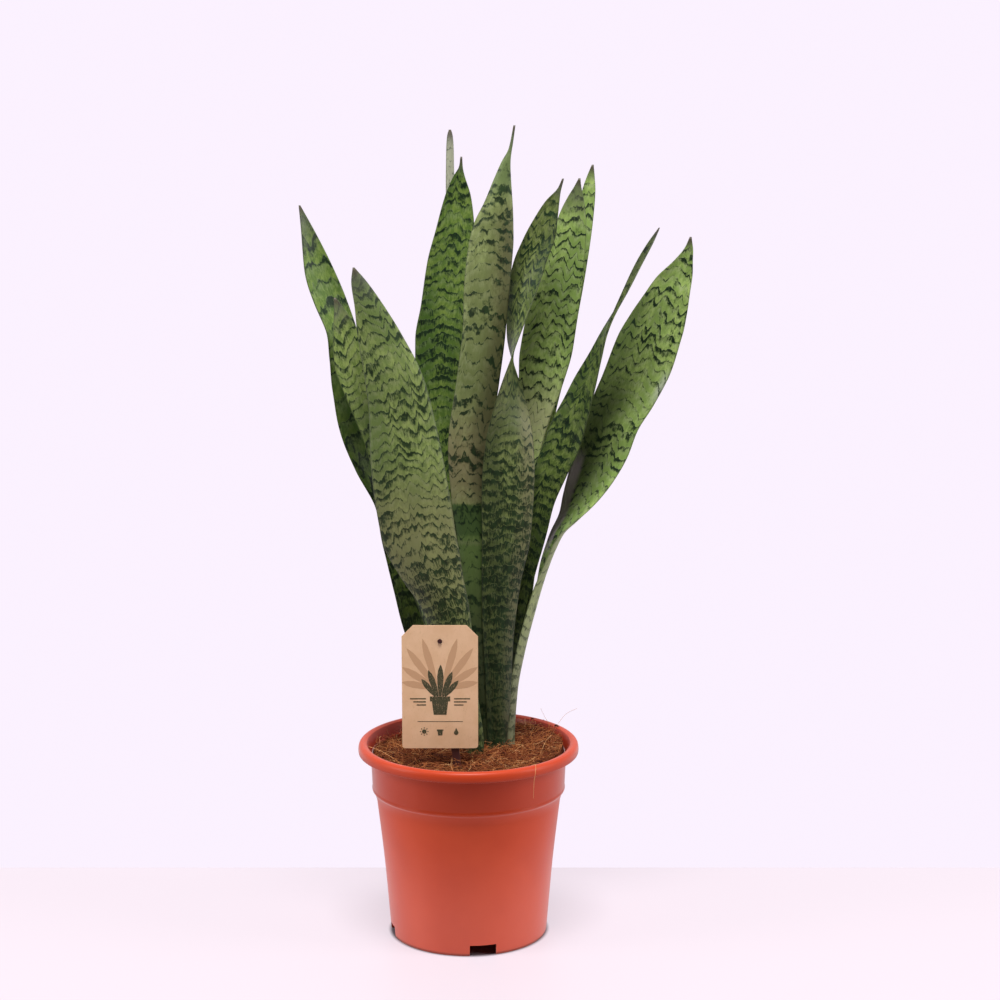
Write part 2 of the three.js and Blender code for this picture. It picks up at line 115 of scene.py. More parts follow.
# The mix rises to the right by 1 in MIX_SLOPE. Its mound: middle to the right and to the back, spread
# and height
MIX_SLOPE = 35
MIX_MOUND = (15, 5, 32, 1.2)
# The sunk part at the back left: its direction, where it starts as a share of its reach, reach and depth
MIX_SINK = ((-0.45, 0.89), 0.55, 75, 28)
# The dent that the stake made in the mix: its middle to the right and to the back, its spread and depth
STAKE_DENT = (-8, -53, 11, 5)
STRAND_STEPS = 30
STRAND_SIDES = 6
# Loose fibres and crumbs: radius, how pale (0 to 1), and the points that each runs through
STRAYS = [
    (0.16, 0.97, [
        (46, -50, 147), (50, -60, 151.4), (50.6, -64.5, 152.8), (50.9, -69, 151.2), (50.6, -70, 147.5),
        (49.6, -70.3, 140.6), (49.2, -69.6, 128),
    ]),
    (0.12, 0.9, [(62, 19, 146), (62.3, 20, 158), (58.5, 22, 166), (56, 20, 172)]),
    (0.12, 0.93, [(63, 19, 146), (68.4, 20, 157.5), (76, 22, 167), (84.5, 20, 172)]),
    (0.16, 0.97, [(64, 22, 146), (64.3, 18, 151.5), (60, 0, 152), (55.5, -22, 149), (54, -27, 146)]),
    (0.16, 0.95, [(-76.5, -14, 151.4), (-66, -30, 152.5), (-54, -47, 150.8), (-46, -55, 146)]),
    (0.13, 0.9, [(-64, -12, 144), (-60, -6, 153), (-52, -8, 150), (-45, -14, 145)]),
    (0.13, 0.8, [(30, -60, 146), (36, -62, 150.5), (44, -55, 150), (50, -48, 146)]),
    (0.13, 0.9, [(58, 10, 146), (60, 4, 152), (52, -4, 153.5), (44, -6, 147)]),
    (0.5, 0.05, [(49, 58.5, 152.2), (50.2, 58, 152.8), (51.6, 57.6, 152.3)]),
    (0.6, 0.0, [(67.5, 40.5, 152.1), (69, 39, 152.9), (70.4, 37.6, 152.2)]),
]

# Leaves
LEAF_BASE_THICKNESS = 3.4
LEAF_TIP_THICKNESS = 1.2
MARGIN_THICKNESS = 0.7
LEAF_ACROSS = 23
LEAF_LEVEL_STEP = 2.2
LEAF_FOOT = 126
# How soon a blade thins on its way up, the most that its thickness may be of its width, and how far the
# rounded margin stands out beyond the blade, where the blade's half is 1
LEAF_TAPER = 0.6
NARROW_SHARE = 0.45
MARGIN_REACH = 1.012
LEAF_INK = ((0.013, 0.032, 0.01), (0.005, 0.012, 0.005))
LEAF_FOOT_PAINTED_SHADE = (0.014, 0.019, 0.007)
LEAF_MARGIN = (0.03, 0.035, 0.02)
LEAF_OUTER = ((0.16, 0.17, 0.09), 0.15)
DRY_TIP = (0.085, 0.09, 0.065)
BROWN_POINT = (0.06, 0.045, 0.03)
# How the bands wander: their rise per mm from the middle line, ripple and jitter in mm, and a slow drift
# counted in bands
BAND_CHEVRON = 0.3
BAND_RIPPLE = 7
BAND_JITTER = 3
BAND_DRIFT = 2.2

# Label
CARD_WIDTH = 57
CARD_HEIGHT = 95
CARD_THICKNESS = 0.7
CARD_CHAMFER = 8.5
CARD_CORNER = 2.5
CARD_MIDDLE = -20.6
CARD_BOTTOM = 159.8
CARD_BACK = -45.6
PEG_HEIGHT = 242.5
PEG_RADIUS = 1.5
PEG_REACH = 1.1
PEG_SIDES = 20
STAKE_THICKNESS = 2
STAKE_TOP_WIDTH = 7.4
STAKE_FOOT_WIDTH = 4.6
STAKE_LENGTH = 168
STAKE_POINT = 14
STAKE_LEAN = 7.6
INK_RISE = 0.03
INK_STEP = 0.002

# Each row of a leaf is one level cut: its height, the middle of the cut (to the right, to the back),
# the blade's width laid flat, the turn that the hollow inner side faces, and half the angle of its roll.
# Below its first row the leaf goes straight down to LEAF_FOOT, inside the mix.
LEAF_ROWS = {
    "leaf_far_left": [
        [152, -4, 10, 13, 345, 58], [190, -17, 13, 19, 300, 44],
        [233, -38, 16, 23, 286, 30], [268, -46, 17, 24, 282, 24], [301, -52.5, 17, 27, 293, 20],
        [334, -60, 18, 32, 320, 18], [362, -71, 19, 35, 305, 16], [394, -80, 20, 37, 282, 14],
        [422, -86, 20, 34, 284, 14], [446, -90, 21, 33, 301, 14], [468, -95.6, 22, 33, 320, 14],
        [488, -103.2, 23, 31, 311, 16], [508, -110.4, 24, 26.5, 302, 18], [527, -115.8, 25, 18.5, 300, 20],
        [543, -120.4, 26, 10.5, 300, 22], [561, -126, 26, 1.2, 300, 22],
    ],
    "leaf_left": [
        [152, 0, -4, 14, 370, 56], [190, -9, -4, 21, 330, 44],
        [235, -19, -4, 25, 302, 32], [296, -38, -4, 28, 290, 22], [342, -53, -4, 27, 288, 17],
        [384, -64, -3, 27, 286, 15], [420, -77, -2, 29, 284, 15], [440, -84, -1, 30, 283, 15],
        [456, -87.5, 0, 26, 282, 16], [471, -91.5, 1, 17.5, 282, 18], [484, -95, 2, 9, 282, 20],
        [494, -99, 3, 1.2, 282, 20],
    ],
    "leaf_front_left": [
        [152, 5.5, -17, 16, 72, 56], [198, -4, -19, 25, 77, 44],
        [237, -11.5, -21, 33, 80, 34], [262, -17, -22, 38, 83, 28], [285, -26.5, -23, 48, 86, 23],
        [311, -35, -24, 56.5, 88, 19], [340, -40, -25, 57, 90, 17], [378, -45, -26, 54, 92, 16],
        [412, -49, -26, 47.5, 94, 15], [440, -54.5, -26, 43, 95, 15], [468, -63.8, -25, 33.5, 96, 16],
        [490, -71.4, -25, 22.3, 98, 18], [508, -78.9, -24, 12, 98, 20], [519, -83, -24, 1.2, 98, 20],
    ],
    "leaf_back_left": [
        [152, 5, 20, 14, 275, 56], [227, 0, 21, 30, 273, 34],
        [305, -8, 22, 41, 272, 22], [368, -15.5, 23, 41, 271, 17], [414, -20, 24, 40, 270, 15],
        [460, -20.5, 26, 39, 268, 14], [486, -16.5, 27, 38, 268, 14], [518, -12.9, 28, 35.5, 268, 15],
        [545, -9.2, 29, 28.5, 268, 17], [568, -7.3, 30, 19.5, 268, 20], [582, -6.5, 30, 9, 268, 21],
        [590, -5, 30, 2.5, 268, 22], [597, -4.7, 30, 1.2, 268, 22],
    ],
    "leaf_middle_tall": [
        [152, 12, 2, 14, 80, 58], [232, 6.5, 1, 22, 84, 42],
        [279, 5, 0, 21, 86, 34], [312, 2.5, 0, 22, 88, 30], [343, 0, 0, 26, 89, 28],
        [387, 1.5, -1, 33, 90, 25], [430, 7.5, -1, 33, 90, 24], [470, 12.5, 0, 33, 90, 24],
        [508, 15, 1, 35, 90, 24], [532, 17.5, 2, 34, 90, 24], [549, 19.6, 3, 30, 90, 26],
        [565, 23.2, 4, 21.5, 88, 30], [582, 26.2, 5, 13, 85, 34], [594, 28.7, 5, 7, 82, 36],
        [604, 32, 6, 2.4, 80, 36], [621, 35, 6, 1.2, 80, 36],
    ],
    "leaf_front_middle": [
        [152, 22, -5.5, 17, 88, 54], [186, 23, -5.5, 20, 89, 44],
        [231, 23, -6, 24, 90, 34], [275, 25, -6, 30, 91, 27], [312, 29, -7, 37, 92, 21],
        [358, 30.5, -7, 40, 95, 17], [388, 31.5, -7, 37, 106, 14], [408, 32, -6, 35, 128, 12],
        [432, 31.8, -5, 34, 158, 10], [456, 32.6, -3, 33, 186, 9], [480, 36.5, -1, 31, 207, 11],
        [502, 41.5, 1, 29, 228, 14], [522, 47, 3, 26, 248, 16], [538, 53.5, 4, 24, 260, 18],
        [553, 58.5, 5, 17.5, 264, 20], [566, 63.5, 6, 10, 265, 22], [575, 68.5, 6, 2.6, 265, 24],
        [582, 71, 6, 1.2, 265, 24],
    ],
    "leaf_right_middle": [
        [152, 19, 18.5, 14, 262, 56], [190, 24, 22, 18, 260, 44],
        [228, 30, 25, 22, 258, 36], [291, 34, 27, 26, 254, 25], [338, 39, 26, 28, 252, 20],
        [370, 42, 26, 27, 253, 18], [398, 47.4, 26, 30, 256, 17], [425, 55, 26, 34, 262, 15],
        [452, 59.5, 26, 40, 268, 14], [479, 64, 26, 39, 270, 14], [500, 69, 27, 35, 270, 15],
        [520, 73, 28, 30, 270, 16], [544, 77.5, 29, 24, 270, 18], [557, 79.3, 30, 18.5, 270, 20],
        [568, 81.3, 30, 11, 270, 22], [575, 82.7, 30, 5, 270, 23], [581, 84, 30, 1.2, 270, 23],
    ],
    "leaf_right_back": [
        [152, 25, 26, 14, 255, 56], [225, 36, 34, 19, 258, 34],
        [290, 43, 38, 21, 258, 24], [335, 49, 40, 21, 258, 20], [396, 56, 42, 21, 256, 16],
        [442, 67, 44, 20.5, 256, 15], [488, 76.8, 46, 19, 256, 15], [526, 84.2, 48, 16.5, 256, 16],
        [552, 88.9, 50, 13.5, 256, 18], [570, 91.6, 51, 10.5, 256, 21], [580, 93, 52, 6.5, 256, 23],
        [590, 94.6, 52, 1.2, 256, 23],
    ],
    "leaf_right_twisted": [
        [152, 26, 10, 12, 215, 54], [190, 28.5, 11, 13, 230, 46],
        [222, 32, 13, 14, 245, 38], [250, 37, 14, 14.5, 254, 32], [280, 43.5, 15, 16, 262, 26],
        [313, 51, 15, 19, 264, 22], [334, 54.5, 14, 22, 264, 20], [357, 61.4, 12, 27.2, 261, 18],
        [378, 70, 11, 30, 252, 20], [400, 77, 10, 31, 237, 24], [416, 83, 9, 30, 224, 28],
        [432, 88.8, 8, 31, 211, 30], [450, 95.7, 7, 28, 197, 28], [466, 101.4, 6, 25, 185, 22],
        [480, 107.8, 6, 23, 176, 18], [498, 117.2, 5, 22, 166, 18], [520, 128, 4, 18.5, 159, 17],
        [535, 136.2, 4, 12, 156, 18], [546, 142.5, 4, 1.2, 156, 18],
    ],
    "leaf_far_right": [
        [152, 31, 3, 14, 165, 56], [190, 33, 4, 16, 165, 54],
        [222, 38.5, 6, 18, 165, 54], [250, 45.5, 9, 20, 167, 52], [270, 51, 12, 22, 172, 50],
        [288, 56.5, 14, 24, 184, 50], [300, 60.8, 15, 26, 187, 50], [312, 66.4, 17, 30, 190, 46],
        [324, 76.2, 18, 35, 203, 42], [338, 85.3, 20, 40, 222, 38], [354, 93.8, 22, 43, 237, 32],
        [372, 101.5, 24, 45, 247, 26], [390, 107.4, 26, 45.5, 252, 22], [410, 117.3, 28, 49.5, 257, 18],
        [433, 128.2, 29, 51, 262, 15], [462, 138.2, 30, 48.8, 266, 14], [478, 144.5, 31, 43, 268, 14],
        [493, 150.5, 31, 35, 269, 15], [507, 156.5, 32, 27, 270, 16], [519, 162.9, 32, 14.5, 270, 18],
        [529, 167, 32, 6, 270, 20], [537, 168.2, 32, 1.2, 270, 20],
    ],
    "leaf_back_upright": [
        [152, 6, 31, 15, 265, 56], [222, -3, 37, 21, 245, 34],
        [301, -11, 43, 24, 215, 20], [410, -12, 49, 27, 185, 14], [487, -12.5, 53, 23, 174, 12],
        [548, -13, 56, 17, 158, 12], [586, -13.8, 58, 10.5, 148, 14], [606, -13.8, 59, 8, 144, 16],
        [612, -13.8, 59, 6, 144, 16], [616, -13.8, 59, 2, 144, 16],
    ],
}

# How each leaf's skin differs: the seed of its pattern, the spacing of the bands in mm, how high they
# peak, the rhythm in mm of heavy and faint stretches, how wide the bands are where faint and how much
# wider where heavy, how broken they are, the height in mm under which they crowd and how much, the length
# of the dried tip, how dark the painted shade at the foot is and from which height in mm down, and the
# light, green and grey ground colours. A zone is a stretch with a ground colour of its own, painted shade
# or a painted highlight: from and to which height in mm, how soft its ends are, the places across the
# blade (-1 to 1) where it starts and is full, colour and share. WHOLE stands for all of the blade from
# side to side. A bare zone covers the bands too.
VIVID = ((0.16, 0.225, 0.046), (0.055, 0.105, 0.017), (0.15, 0.2, 0.085))
FRESH = ((0.24, 0.3, 0.085), (0.095, 0.145, 0.032), (0.2, 0.225, 0.11))
OLIVE = ((0.165, 0.205, 0.06), (0.06, 0.085, 0.02), (0.14, 0.155, 0.075))
PALE = ((0.29, 0.345, 0.125), (0.125, 0.155, 0.046), (0.235, 0.265, 0.12))
DEEP = ((0.155, 0.21, 0.05), (0.057, 0.092, 0.019), (0.13, 0.155, 0.068))
BRIGHT = ((0.33, 0.44, 0.125), (0.165, 0.25, 0.058), (0.31, 0.36, 0.18))
WHOLE = (-3, -2)
LEAF_LOOKS = {
    "leaf_far_left": dict(
        seed=3, spacing=15, peaks=38, rhythm=26, thin=0.3, spread=0.6, broken=2.2, dense=330, crowd=0.4,
        dry=40, foot=0.5, shade=300, ground=VIVID),
    "leaf_left": dict(
        seed=11, spacing=9, peaks=40, rhythm=30, thin=0.4, spread=0.35, broken=2.0, dense=330, crowd=0.4,
        dry=24, foot=0.3, shade=300, ground=FRESH),
    "leaf_front_left": dict(
        seed=23, spacing=8.2, peaks=46, rhythm=30, thin=0.4, spread=0.6, broken=1.8, dense=350, crowd=0.6,
        dry=30, foot=0.5, shade=290, ground=FRESH,
        zones=((255, 352, 30, *WHOLE, (0.215, 0.195, 0.09), 0.6),)),
    "leaf_back_left": dict(
        seed=37, spacing=8, peaks=36, rhythm=20, thin=0.5, spread=0.55, broken=2.6, dense=520, crowd=0.1,
        dry=12, foot=0.6, shade=380, ground=VIVID),
    "leaf_middle_tall": dict(
        seed=41, spacing=10.5, peaks=44, rhythm=24, thin=0.34, spread=0.68, broken=3.2, dense=300,
        crowd=0.2, dry=26, foot=0.85, shade=318, ground=PALE,
        zones=((341, 400, 30, *WHOLE, (0.23, 0.17, 0.095), 0.65),
               # painted shade down the right side of the blade
               (341, 560, 20, 0.3, -0.7, (0.07, 0.06, 0.025), 0.75),
               (130, 338, 1.5, *WHOLE, (0.06, 0.12, 0.02), 0.85),
               (314, 338, 1.5, *WHOLE, (0.022, 0.06, 0.01), 0.85),
               (307, 310, 2, *WHOLE, (0.16, 0.18, 0.08), 0.5),
               (572, 660, 12, *WHOLE, (0.095, 0.145, 0.045), 0.85))),
    "leaf_front_middle": dict(
        seed=59, spacing=7.5, peaks=40, rhythm=22, thin=0.5, spread=0.5, broken=2.4, dense=400, crowd=1.0,
        dry=14, foot=0.66, shade=300, ground=OLIVE,
        zones=((150, 420, 30, -0.1, -0.7, (0.17, 0.15, 0.08), 0.6),)),
    "leaf_right_middle": dict(
        seed=67, spacing=8.5, peaks=46, rhythm=26, thin=0.3, spread=0.34, broken=2.2, dense=360, crowd=0.3,
        dry=34, foot=0.7, shade=360, ground=BRIGHT,
        zones=((375, 420, 25, *WHOLE, (0.34, 0.31, 0.18), 0.6),)),
    "leaf_right_back": dict(
        seed=71, spacing=8, peaks=30, rhythm=22, thin=0.3, spread=0.3, broken=2.0, dense=300, crowd=0.3,
        dry=10, foot=0.5, shade=340, ground=BRIGHT),
    "leaf_right_twisted": dict(
        seed=83, spacing=9, peaks=40, rhythm=22, thin=0.55, spread=0.5, broken=2.4, dense=400, crowd=0.3,
        dry=10, foot=0.7, shade=300, ground=DEEP),
    "leaf_far_right": dict(
        seed=97, spacing=9, peaks=40, rhythm=24, thin=0.32, spread=0.46, broken=2.6, dense=320, crowd=0.3,
        dry=8, foot=0.75, shade=270, ground=BRIGHT, outer=((0.27, 0.27, 0.17), 0.6),
        # painted shade over the folded left side and up the left side; a painted highlight on the right
        # edge where the blade bends
        zones=((345, 425, 20, 0.55, -0.5, (0.03, 0.045, 0.015), 0.78),
               (425, 500, 25, 0.1, -0.9, (0.05, 0.075, 0.02), 0.6),
               (415, 432, 9, 0.7, 0.9, (0.42, 0.44, 0.38), 0.6)),
        # the bare zone is a painted reflection: a pale mauve sheen on the inner side by the left margin
        bare=((302, 366, 12, -0.52, -0.72, (0.45, 0.37, 0.42), 0.9),)),
    "leaf_back_upright": dict(
        seed=101, spacing=9, peaks=30, rhythm=22, thin=0.2, spread=0.3, broken=2.6, dense=300, crowd=0.3,
        dry=10, foot=0.6, shade=480, ground=PALE, zones=((560, 660, 20, *WHOLE, (0.34, 0.33, 0.27), 0.7),)),
}


def new_object(name, data):
    made = bpy.data.objects.new(name, data)
    bpy.context.scene.collection.objects.link(made)
    return made


def mesh_from(name, points, faces, smooth=True):
    mesh = bpy.data.meshes.new(name)
    mesh.from_pydata([tuple(p) for p in points], [], faces)
    mesh.update()
    mesh.polygons.foreach_set("use_smooth", [smooth] * len(mesh.polygons))
    return mesh


def finish_piece(piece, slot, *nodes):
    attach(piece, "root")
    if nodes:
        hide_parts(*nodes)


# Camera, lights, table and backdrop

def make_camera():
    data = bpy.data.cameras.new("photo_view")
    data.lens = CAMERA_LENS
    data.sensor_width = CAMERA_SENSOR
    camera = new_object("photo_view", data)
    camera.location = CAMERA_PLACE
    camera.rotation_euler = (math.radians(CAMERA_PITCH), 0, 0)
    bpy.context.scene.camera = camera


def softbox(name, place, aim, width, height, watts):
    data = bpy.data.lights.new(name, "AREA")
    data.shape = "RECTANGLE"
    data.size = width
    data.size_y = height
    data.energy = watts
    lamp = new_object(name, data)
    lamp.location = place
    lamp.rotation_euler = (Vector(aim) - Vector(place)).to_track_quat("-Z", "Y").to_euler()


# Node trees

class Steps:
    """Builds a node tree in plain steps. Each step returns what its node gives out."""

    def __init__(self, tree):
        self.tree = tree

    def put(self, value, socket):
        if isinstance(value, bpy.types.NodeSocket):
            self.tree.links.new(value, socket)
        elif socket.type == "RGBA":
            socket.default_value = (*value, 1)
        else:
            socket.default_value = value

    def add(self, kind, inputs=None, **settings):
        node = self.tree.nodes.new(kind)
        for key, value in settings.items():
            setattr(node, key, value)
        for key, value in (inputs or {}).items():
            self.put(value, node.inputs[key])
        return node.outputs

    def math(self, operation, *values, clamp=False):
        return self.add("ShaderNodeMath", dict(enumerate(values)), operation=operation, use_clamp=clamp)[0]

    def times(self, *values):
        return reduce(lambda a, b: self.math("MULTIPLY", a, b), values)

    def total(self, *values):
        return reduce(lambda a, b: self.math("ADD", a, b), values)

    def rest(self, value, clamp=False):
        """What is left of one."""
        return self.math("SUBTRACT", 1.0, value, clamp=clamp)

    def split(self, vector):
        return self.add("ShaderNodeSeparateXYZ", {0: vector})

    def join(self, x, y, z):
        return self.add("ShaderNodeCombineXYZ", {0: x, 1: y, 2: z})[0]

    def vector_math(self, operation, first, second):
        return self.add("ShaderNodeVectorMath", {0: first, 1: second}, operation=operation)[0]

    def from_axis(self, place):
        """The distance of a place from the pot's axis."""
        level = self.vector_math("MULTIPLY", place, (1, 1, 0))
        return self.add("ShaderNodeVectorMath", {0: level}, operation="LENGTH")["Value"]

    def ramp(self, value, low, high, out_low=0.0, out_high=1.0):
        ends = {"From Min": low, "From Max": high, "To Min": out_low, "To Max": out_high}
        return self.add("ShaderNodeMapRange", {"Value": value, **ends}, interpolation_type="SMOOTHSTEP")[0]


class Recipe(Steps):
    """The steps of a material, which end with its surface."""

    def __init__(self, name):
        self.material = bpy.data.materials.new(name)
        self.material.use_nodes = True
        super().__init__(self.material.node_tree)
        self.shader = self.tree.nodes["Principled BSDF"].inputs

    def attribute(self, name):
        return self.add("ShaderNodeAttribute", attribute_name=name)

    def object_place(self):
        return self.add("ShaderNodeTexCoord")["Object"]

    def noise(self, place, scale=1.0, detail=2.0, roughness=0.5, offset=(0, 0, 0), stretch=(1, 1, 1)):
        moved = self.add("ShaderNodeMapping", {"Vector": place, "Location": offset, "Scale": stretch})[0]
        grain = {"Scale": scale, "Detail": detail, "Roughness": roughness}
        return self.add("ShaderNodeTexNoise", {"Vector": moved, **grain})[0]

    def blend(self, share, first, second):
        return self.add("ShaderNodeMix", {"Factor": share, 6: first, 7: second}, data_type="RGBA")[2]

    def bump(self, height, distance, strength):
        relief = {"Strength": strength, "Distance": distance, "Height": height}
        self.put(self.add("ShaderNodeBump", relief)[0], self.shader["Normal"])

    def surface(self, colour, roughness, **others):
        for name, value in {"Base_Color": colour, "Roughness": roughness, **others}.items():
            self.put(value, self.shader[name.replace("_", " ")])
        return self.material


class Grower(Steps):
    """The steps of a geometry node tree, with a named input for each of its sizes."""

    def __init__(self, name, sizes):
        super().__init__(bpy.data.node_groups.new(name, "GeometryNodeTree"))
        self.sizes = sizes
        self.keys = {}
        self.socket("Geometry", "NodeSocketGeometry", "INPUT")
        for label, value in sizes.items():
            kind = "NodeSocketInt" if isinstance(value, int) else "NodeSocketFloat"
            size = self.socket(label, kind, "INPUT")
            size.default_value = value
            self.keys[label] = size.identifier
        self.socket("Geometry", "NodeSocketGeometry", "OUTPUT")
        self.given = self.tree.nodes.new("NodeGroupInput").outputs
        self.out = self.tree.nodes.new("NodeGroupOutput").inputs

    def socket(self, name, kind, way):
        return self.tree.interface.new_socket(name=name, in_out=way, socket_type=kind)

    def place(self):
        return self.add("GeometryNodeInputPosition")[0]

    def randomly(self, low, high, seed):
        return self.add("FunctionNodeRandomValue", {2: low, 3: high, "Seed": seed})[1]

    def end(self, geometry, material):
        real = self.add("GeometryNodeRealizeInstances", {"Geometry": geometry})[0]
        done = self.add("GeometryNodeSetMaterial", {"Geometry": real, "Material": material})[0]
        self.tree.links.new(done, self.out[0])

    def apply_to(self, piece, name):
        """Runs the tree on a piece and returns the result as a plain mesh."""
        modifier = piece.modifiers.new(self.tree.name, "NODES")
        modifier.node_group = self.tree
        for label, value in self.sizes.items():
            modifier[self.keys[label]] = value
        depsgraph = bpy.context.evaluated_depsgraph_get()
        mesh = bpy.data.meshes.new_from_object(piece.evaluated_get(depsgraph))
        mesh.name = name
        piece.modifiers.remove(modifier)
        return mesh


def make_studio():
    for name, values in SOFTBOXES.items():
        softbox(name, *values)
    world = bpy.data.worlds.new("backdrop")
    world.use_nodes = True
    world.node_tree.nodes.clear()
    w = Steps(world.node_tree)
    behind = w.split(w.add("ShaderNodeTexCoord")["Generated"])["Y"]
    strength = w.ramp(behind, *ROOM_TURN, ROOM_FRONT, ROOM_BACK)
    lit = w.add("ShaderNodeBackground", {"Color": ROOM_COLOUR, "Strength": strength})[0]
    seen = w.add("ShaderNodeBackground", {"Color": BACKDROP_COLOUR, "Strength": 1.0})[0]
    sight = w.add("ShaderNodeLightPath")["Is Camera Ray"]
    both = w.add("ShaderNodeMixShader", {0: sight, 1: lit, 2: seen})[0]
    w.add("ShaderNodeOutputWorld", {"Surface": both})
    bpy.context.scene.world = world
    bpy.context.scene.view_settings.view_transform = "Standard"


def make_table():
    points = [
        (-TABLE_HALF, TABLE_FRONT_EDGE, 0), (TABLE_HALF, TABLE_FRONT_EDGE, 0),
        (TABLE_HALF, TABLE_BACK_EDGE, 0), (-TABLE_HALF, TABLE_BACK_EDGE, 0),
    ]
    table = new_object("table", mesh_from("table", points, [(0, 1, 2, 3)], smooth=False))
    r = Recipe("white_table")
    # The table glows everywhere but under the pot: painted light that washes out the pot's shadow on it
    away = r.from_axis(r.object_place())
    glow = r.ramp(away, (BODY_FOOT_RADIUS - 1) * MM, (BODY_FOOT_RADIUS + 3) * MM, 0.0, TABLE_GLOW)
    white = r.surface(TABLE_COLOUR, 0.5, Emission_Color=TABLE_GLOW_COLOUR, Emission_Strength=glow)
    table.data.materials.append(white)


# Leaves

def smooth_value(rows, column, heights):
    """A monotone cubic through one column of the rows, whose first column is the height."""
    knots = np.array([row[0] for row in rows], float)
    values = np.array([row[column] for row in rows], float)
    gap = np.diff(knots)
    rise = np.diff(values) / gap
    slope = np.zeros(len(knots))
    slope[0] = rise[0]
    slope[-1] = rise[-1]
    for i in range(1, len(knots) - 1):
        if rise[i - 1] * rise[i] > 0:
            before = 2 * gap[i] + gap[i - 1]
            after = gap[i] + 2 * gap[i - 1]
            slope[i] = (before + after) / (before / rise[i - 1] + after / rise[i])
    i = np.clip(np.searchsorted(knots, heights, side="right") - 1, 0, len(knots) - 2)
    h = gap[i]
    t = (heights - knots[i]) / h
    return (
        (1 + 2 * t) * (1 - t) ** 2 * values[i]
        + t * (1 - t) ** 2 * h * slope[i]
        + t * t * (3 - 2 * t) * values[i + 1]
        + t * t * (t - 1) * h * slope[i + 1]
    )


def leaf_rings(rows):
    """Level rings of points up a leaf, with each point's place on the blade laid flat."""
    top = rows[-1][0]
    levels = int((top - rows[0][0]) / LEAF_LEVEL_STEP) + 1
    z = np.linspace(rows[0][0], top, levels)
    x, y, width, turn, roll = (smooth_value(rows, column, z) for column in range(1, 6))
    rise = np.clip((z - MIX_LEVEL) / (top - MIX_LEVEL), 0, 1)
    full = LEAF_BASE_THICKNESS - (LEAF_BASE_THICKNESS - LEAF_TIP_THICKNESS) * rise**LEAF_TAPER
    middle = np.maximum(np.minimum(full, NARROW_SHARE * width), MARGIN_THICKNESS)
    half = np.radians(roll)
    radius = width / 2 / half
    facing = np.radians(turn)
    inward = np.stack([np.cos(facing), np.sin(facing)], 1)
    along = np.stack([-np.sin(facing), np.cos(facing)], 1)
    middle_line = np.stack([x, y], 1)
    centre = middle_line + inward * (radius * np.cos(half))[:, None]

    u = np.linspace(-1, 1, LEAF_ACROSS)
    sides = np.concatenate([-np.ones(LEAF_ACROSS), [0], np.ones(LEAF_ACROSS), [0]])
    across = np.concatenate([u, [MARGIN_REACH], u[::-1], [-MARGIN_REACH]])
    thickness = MARGIN_THICKNESS + (middle - MARGIN_THICKNESS)[:, None] * np.clip(1 - across**2, 0, 1)
    r = radius[:, None] + sides * thickness / 2
    angle = across * half[:, None]
    flat = (
        centre[:, None, :]
        + along[:, None, :] * (r * np.sin(angle))[..., None]
        - inward[:, None, :] * (r * np.cos(angle))[..., None]
    )
    points = np.concatenate([flat, np.broadcast_to(z[:, None, None], (*flat.shape[:2], 1))], 2)

    axis = np.stack([x, y, z], 1)
    tangent = np.gradient(axis, axis=0)
    step = np.linalg.norm(tangent, axis=1)
    tangent = tangent / step[:, None]
    length = np.concatenate([[0], np.cumsum(np.linalg.norm(np.diff(axis, axis=0), axis=1))])
    lift = ((points - axis[:, None, :]) * tangent[:, None, :]).sum(2)
    flat_across = across * (width / 2)[:, None]
    place = np.stack([flat_across, length[:, None] + lift, np.broadcast_to(across, lift.shape)], 2)
    to_tip = length[-1] - length[:, None] - lift
    side = np.broadcast_to((1 - sides) / 2, lift.shape)
    return points, place, to_tip, side


def tube_faces(levels, count, flipped=False):
    """Faces of a tube through level after level of ring points, closed at both ends."""
    faces = []
    for level in range(levels - 1):
        for i in range(count):
            a = level * count + i
            b = level * count + (i + 1) % count
            faces.append((a, a + count, b + count, b) if flipped else (a, b, b + count, a + count))
    start = tuple(range(count))
    end = tuple(range((levels - 1) * count, levels * count))
    return faces + ([start, end[::-1]] if flipped else [start[::-1], end])


def make_leaf(node, rows, look):
    points, place, to_tip, side = leaf_rings(rows)
    name = node.replace("leaf_", "blade_")
    mesh = mesh_from(name, points.reshape(-1, 3) * MM, tube_faces(*points.shape[:2]))
    for key, kind, values in (
        ("on_blade", "FLOAT_VECTOR", place),
        ("to_tip", "FLOAT", to_tip),
        ("side", "FLOAT", side),
    ):
        attribute = mesh.attributes.new(key, kind, "POINT")
        field = "vector" if kind == "FLOAT_VECTOR" else "value"
        attribute.data.foreach_set(field, np.ascontiguousarray(values, np.float32).ravel())
    mesh.materials.append(leaf_skin(name + "_skin", look))
    piece = new_object(name, mesh)
    slot = next(s["material_slot"] for s in frame["record"]["subparts"] if s["node"] == node)
    finish_piece(piece, slot, node)


